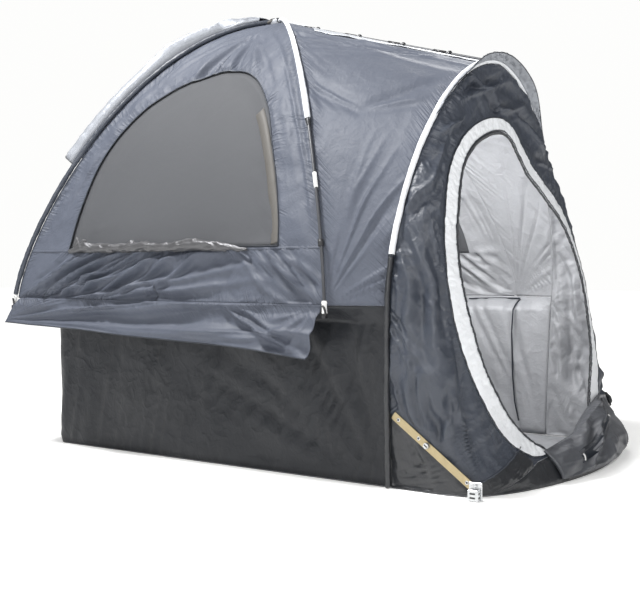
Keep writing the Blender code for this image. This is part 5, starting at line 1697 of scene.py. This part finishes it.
def hub(mats):
    turn = np.linspace(0, 2 * math.pi, 96, endpoint=False)[None]
    s = np.linspace(0.0, 1, 16)[:, None]
    r = HUB_R * np.sin(np.clip(s * 1.25, 0, 1) * math.pi / 2) + 0 * turn
    z = APEX_Z + 0.0228 - 0.020 * smooth(0.45, 1.0, s) - 0.004 * s + 0 * turn
    pleat = 0.0022 * crest(noise(turn * 24 / (2 * math.pi) + 0 * s, s * 2, 91)) * smooth(0.2, 0.7, s)
    pleat = pleat * smooth(0, 0.3, turn) * smooth(2 * math.pi, 2 * math.pi - 0.3, turn)
    grid = np.stack([(r + pleat) * np.cos(turn), DOME_Y + (r + pleat) * np.sin(turn), z + pleat * 0.6], -1)
    grid[0] = grid[0].mean(0) + np.stack([np.cos(turn[0]), np.sin(turn[0]), 0 * turn[0]], -1) * 0.0008
    n = around(grid, np.stack([np.cos(turn) + 0 * r, np.sin(turn) + 0 * r, 0.6 + 0 * r], -1))
    made = slab("crown_cap", grid, grid - n * CLOTH_T, [mats["silver"]], grid[..., :2], True)
    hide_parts("crown_hub")
    declare(made, grid, (0.12, 0.12), wrap=True)
    for number, (sx, sy) in enumerate(((1, 1), (1, -1))):
        far = unit(np.array([sx * DOME_HALF_W, sy * DOME_HALF_L, 0.0])) * (HUB_R + 0.004)
        mid = np.array([0, DOME_Y, APEX_Z])
        path = smooth_path(
            [mid - far + [0, 0, 0.004], mid - far * 0.8 + [0, 0, 0.0215], mid + [0, 0, 0.0245 + 0.001 * number],
             mid + far * 0.8 + [0, 0, 0.0215], mid + far + [0, 0, 0.004]], 10,
        )
        strap = tube(f"crown_strap_{number + 1}", path, 0.010, [mats["black"]], 14, squash=0.14)
    path = [(-0.030, DOME_Y + 0.004, APEX_Z + 0.014), (-0.034, DOME_Y + 0.030, APEX_Z + 0.006)]
    made = tube("crown_clip", path, 0.0062, [mats["beige"]], 12)


def window_covers(mats):
    k = (WINDOW_BOTTOM_Z - RAIL_Z) / (APEX_Z - RAIL_Z)
    for side, sx in (("left", -1), ("right", 1)):
        x = sx * (DOME_HALF_W * reach(k) + 0.0190)
        y = np.linspace(0.545, 1.432, 200)
        bump = np.interp(
            y, [0.545, 0.60, 0.66, 0.74, 0.80, 0.88, 0.95, 1.02, 1.10, 1.18, 1.27, 1.34, 1.40, 1.432],
            [0.10, 0.30, 0.62, 0.94, 0.98, 0.72, 0.60, 0.80, 0.66, 0.58, 0.78, 0.86, 0.50, 0.10],
        )
        z = WINDOW_BOTTOM_Z - 0.0165 + 0.0220 * bump + 0.0035
        path = np.stack([np.full_like(y, x), y, z + 0.0012 * noise(y / 0.03, 0, 95)], 1)

        def ruck(s, a, seed=96 + sx):
            line = noise(s / 0.055 + 0.9 * np.cos(a + s / 0.09), 1.6 * np.cos(a - s / 0.16) + 4, seed)
            fine = noise(s / 0.024 + np.sin(2 * a), 2.2 * np.sin(a) + 7, seed + 3)
            return 0.0085 * crest(line, 1.6) + 0.0024 * crest(fine, 1.5) - 0.001

        made = tube(
            f"window_cover_{side}_roll", path, 0.0035 + 0.0185 * bump, [mats["cover"]], 26, up=np.array([0, 0, 1.0]), ruck=ruck
        )
        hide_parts(f"window_cover_{side}")
        for number, (at, wide, tall) in enumerate(((1.340, 0.095, 0.028), (1.085, 0.090, 0.020), (1.380, 0.050, 0.036))):
            u, v = np.meshgrid(np.linspace(-1, 1, 26), np.linspace(0, 1, 14))
            yy = at + u * wide / 2 * (1 - 0.82 * v) + 0.012 * v
            zz = WINDOW_BOTTOM_Z + 0.010 + tall * v - 0.008 * np.abs(u) * (1 - v)
            out = 0.0085 - 0.012 * v**1.5 + 0.0040 * crest(noise(u * 2.2 + v, v * 2, 98 + number))
            front = np.stack([x + sx * out, yy, zz], -1)
            n = around(front, np.array([sx, 0, 0.2]))
            made = slab(f"window_cover_fold_{side}_{number + 1}", front, front - n * CLOTH_T, [mats["cover"]], np.stack([yy, zz], -1))


# Hardware


def disc(name, at, axis, radius, height, mats, rings=((1.0, 0.0), (1.0, 0.7), (0.85, 1.0))):
    """A turned piece on a face: pairs of radius share and height share, from its foot up."""
    axis = unit(np.array(axis, float))
    side = unit(np.cross(axis, [0.3, 0.2, 1.0]))
    up = np.cross(axis, side)
    a = np.linspace(0, 2 * math.pi, 28, endpoint=False)
    round_ = np.cos(a)[:, None] * side + np.sin(a)[:, None] * up
    points = np.array([np.array(at) + round_ * radius * r + axis * height * h for r, h in rings])
    quads = quads_of(len(rings), 28, True).tolist()
    quads.append(list(range(28)))
    quads.append([(len(rings) - 1) * 28 + i for i in range(28)])
    made = add_mesh(name, points, quads, mats)
    fix_normals(made)
    return made


def block(name, low, high, mats, round_off=0.002):
    """A block with rounded edges."""
    work = bmesh.new()
    bmesh.ops.create_cube(work, size=1)
    low, high = np.array(low), np.array(high)
    for v in work.verts:
        v.co = Vector(((low + high) / 2 + np.array(v.co) * (high - low)).tolist())
    bmesh.ops.bevel(work, geom=list(work.edges), offset=round_off, segments=3, affect="EDGES", profile=0.5)
    mesh = bpy.data.meshes.new(name)
    for v in work.verts:
        v.co.y += SHIFT
    work.to_mesh(mesh)
    work.free()
    for mat in mats:
        mesh.materials.append(mat)
    made = bpy.data.objects.new(name, mesh)
    bpy.context.collection.objects.link(made)
    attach(made, "root")
    return made


def hardware(mats):
    for side, sx in (("left", -1), ("right", 1)):
        run = unit(np.array([-0.278, 0.036 - 0.240]))
        for number, share in enumerate((0.07, 0.33, 0.93)):
            y, z = -0.278 * share, 0.240 + (0.036 - 0.240) * share
            face = sx * (arch_half(z) + 0.0037)
            ring = disc(
                f"stay_rivet_{side}_{number + 1}", (face, y, z), (sx, 0, 0), 0.0062, 0.0014, [mats["steel"]],
                ((1.0, -0.3), (1.0, 0.5), (0.8, 1.0), (0.62, 1.0)),
            )
            hole = disc(f"stay_hole_{side}_{number + 1}", (face, y, z), (sx, 0, 0), 0.0036, 0.0018, [mats["black_plastic"]])
        face = sx * (arch_half(0.152) + 0.0118)
        slot = [(face, -0.120 - 0.0065 * run[0], 0.152 - 0.0065 * run[1]), (face, -0.120 + 0.0065 * run[0], 0.152 + 0.0065 * run[1])]
        made = tube(f"stud_slot_{side}", slot, 0.0021, [mats["black_plastic"]], 10)
        x0, x1 = arch_half(0.056) + 0.0043, arch_half(0.056) + 0.030
        lo, hi = sorted((sx * x0, sx * (x0 + 0.006)))
        made = block(f"corner_plate_{side}", (lo, -0.312, 0.0004), (hi, -0.268, 0.056), [mats["steel"]], 0.0015)
        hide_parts(f"corner_fitting_{side}")
        lo, hi = sorted((sx * (x0 + 0.005), sx * x1))
        made = block(f"corner_bracket_{side}", (lo, -0.308, 0.0006), (hi, -0.272, 0.036), [mats["steel"]], 0.004)
        for number, z in enumerate((0.008, 0.021)):
            lo, hi = sorted((sx * (x1 - 0.004), sx * (x1 + 0.0006)))
            made = block(f"bracket_slot_{side}_{number + 1}", (lo, -0.300, z), (hi, -0.280, z + 0.007), [mats["black_plastic"]], 0.0018)
            lo, hi = sorted((sx * (x0 + 0.009), sx * (x1 - 0.004)))
            made = block(f"bracket_end_{side}_{number + 1}", (lo, -0.3086, z), (hi, -0.300, z + 0.007), [mats["black_plastic"]], 0.0018)
        made = disc(f"bracket_bolt_{side}", (sx * (x0 + 0.006), -0.290, 0.046), (sx, 0, 0), 0.0065, 0.005, [mats["steel"]])
        for tag, sy in (("rear", -1), ("front", 1)):
            off = (SLEEVE_R if sy < 0 else FRONT_SLEEVE_R) + 0.0006
            foot, above = outward_dome(0.012, sx, sy, off), outward_dome(0.030, sx, sy, off)
            down = unit(foot - above)
            for number, (at, long, radius) in enumerate(((0.004, 0.005, 0.0094), (0.036, 0.005, 0.0094))):
                mid = foot + down * at
                made = tube(f"tip_ring_{tag}_{side}_{number + 1}", [mid, mid + down * long], radius, [mats["white_plastic"]], 20)
            tie = smooth_path(
                [foot + down * 0.020 + [sx * 0.010, 0, 0.003], foot + down * 0.026 + [sx * 0.013, -0.008, 0.002],
                 foot + down * 0.040 + [sx * 0.010, -0.012, -0.006]], 6,
            )
            made = tube(f"tip_toggle_{tag}_{side}", tie, 0.0038, [mats["black_plastic"]], 12)
    gather = smooth_path([(0.640, -0.262, 0.150), (0.653, -0.250, 0.178), (0.660, -0.215, 0.196), (0.662, -0.180, 0.186)], 14)
    made = tube("corner_tie", gather, np.interp(np.linspace(0, 1, len(gather)), [0, 0.3, 1], [0.004, 0.013, 0.005]), [mats["black"]],
                18, ruck=rucks(0.016, 0.0050, 88))


def dress(mats):
    """Finishes of the CAD parts that stay."""
    for side in ("left", "right"):
        for node, key in (
            (f"pole_rear_{side}", "rod"), (f"pole_tip_rear_{side}", "white_plastic"),
            (f"pole_tip_front_{side}", "white_plastic"), (f"foot_pin_rear_{side}", "black_plastic"),
            (f"foot_pin_front_{side}", "black_plastic"), (f"stay_{side}", "gold"), (f"stay_stud_{side}", "steel"),
        ):
            for slot in bpy.data.objects[node].material_slots:
                slot.material = mats[key]
    for slot in bpy.data.objects["ridge_pole"].material_slots:
        slot.material = mats["rod"]


# The whole


set_camera()
set_studio()
mats = make_materials()

for tag in ("left", "right", "front"):
    dome_wall(tag, mats)
halves = [extension(side, mats) for side in ("left", "right")]
door_wall(mats)
door_sill(mats)
door_panel(mats)
tub(mats)
floor(mats)
skirts(mats)
sleeves(mats)
arch_pieces(mats)
visor(mats)
roof(halves, mats)
hub(mats)
window_covers(mats)
hardware(mats)
dress(mats)
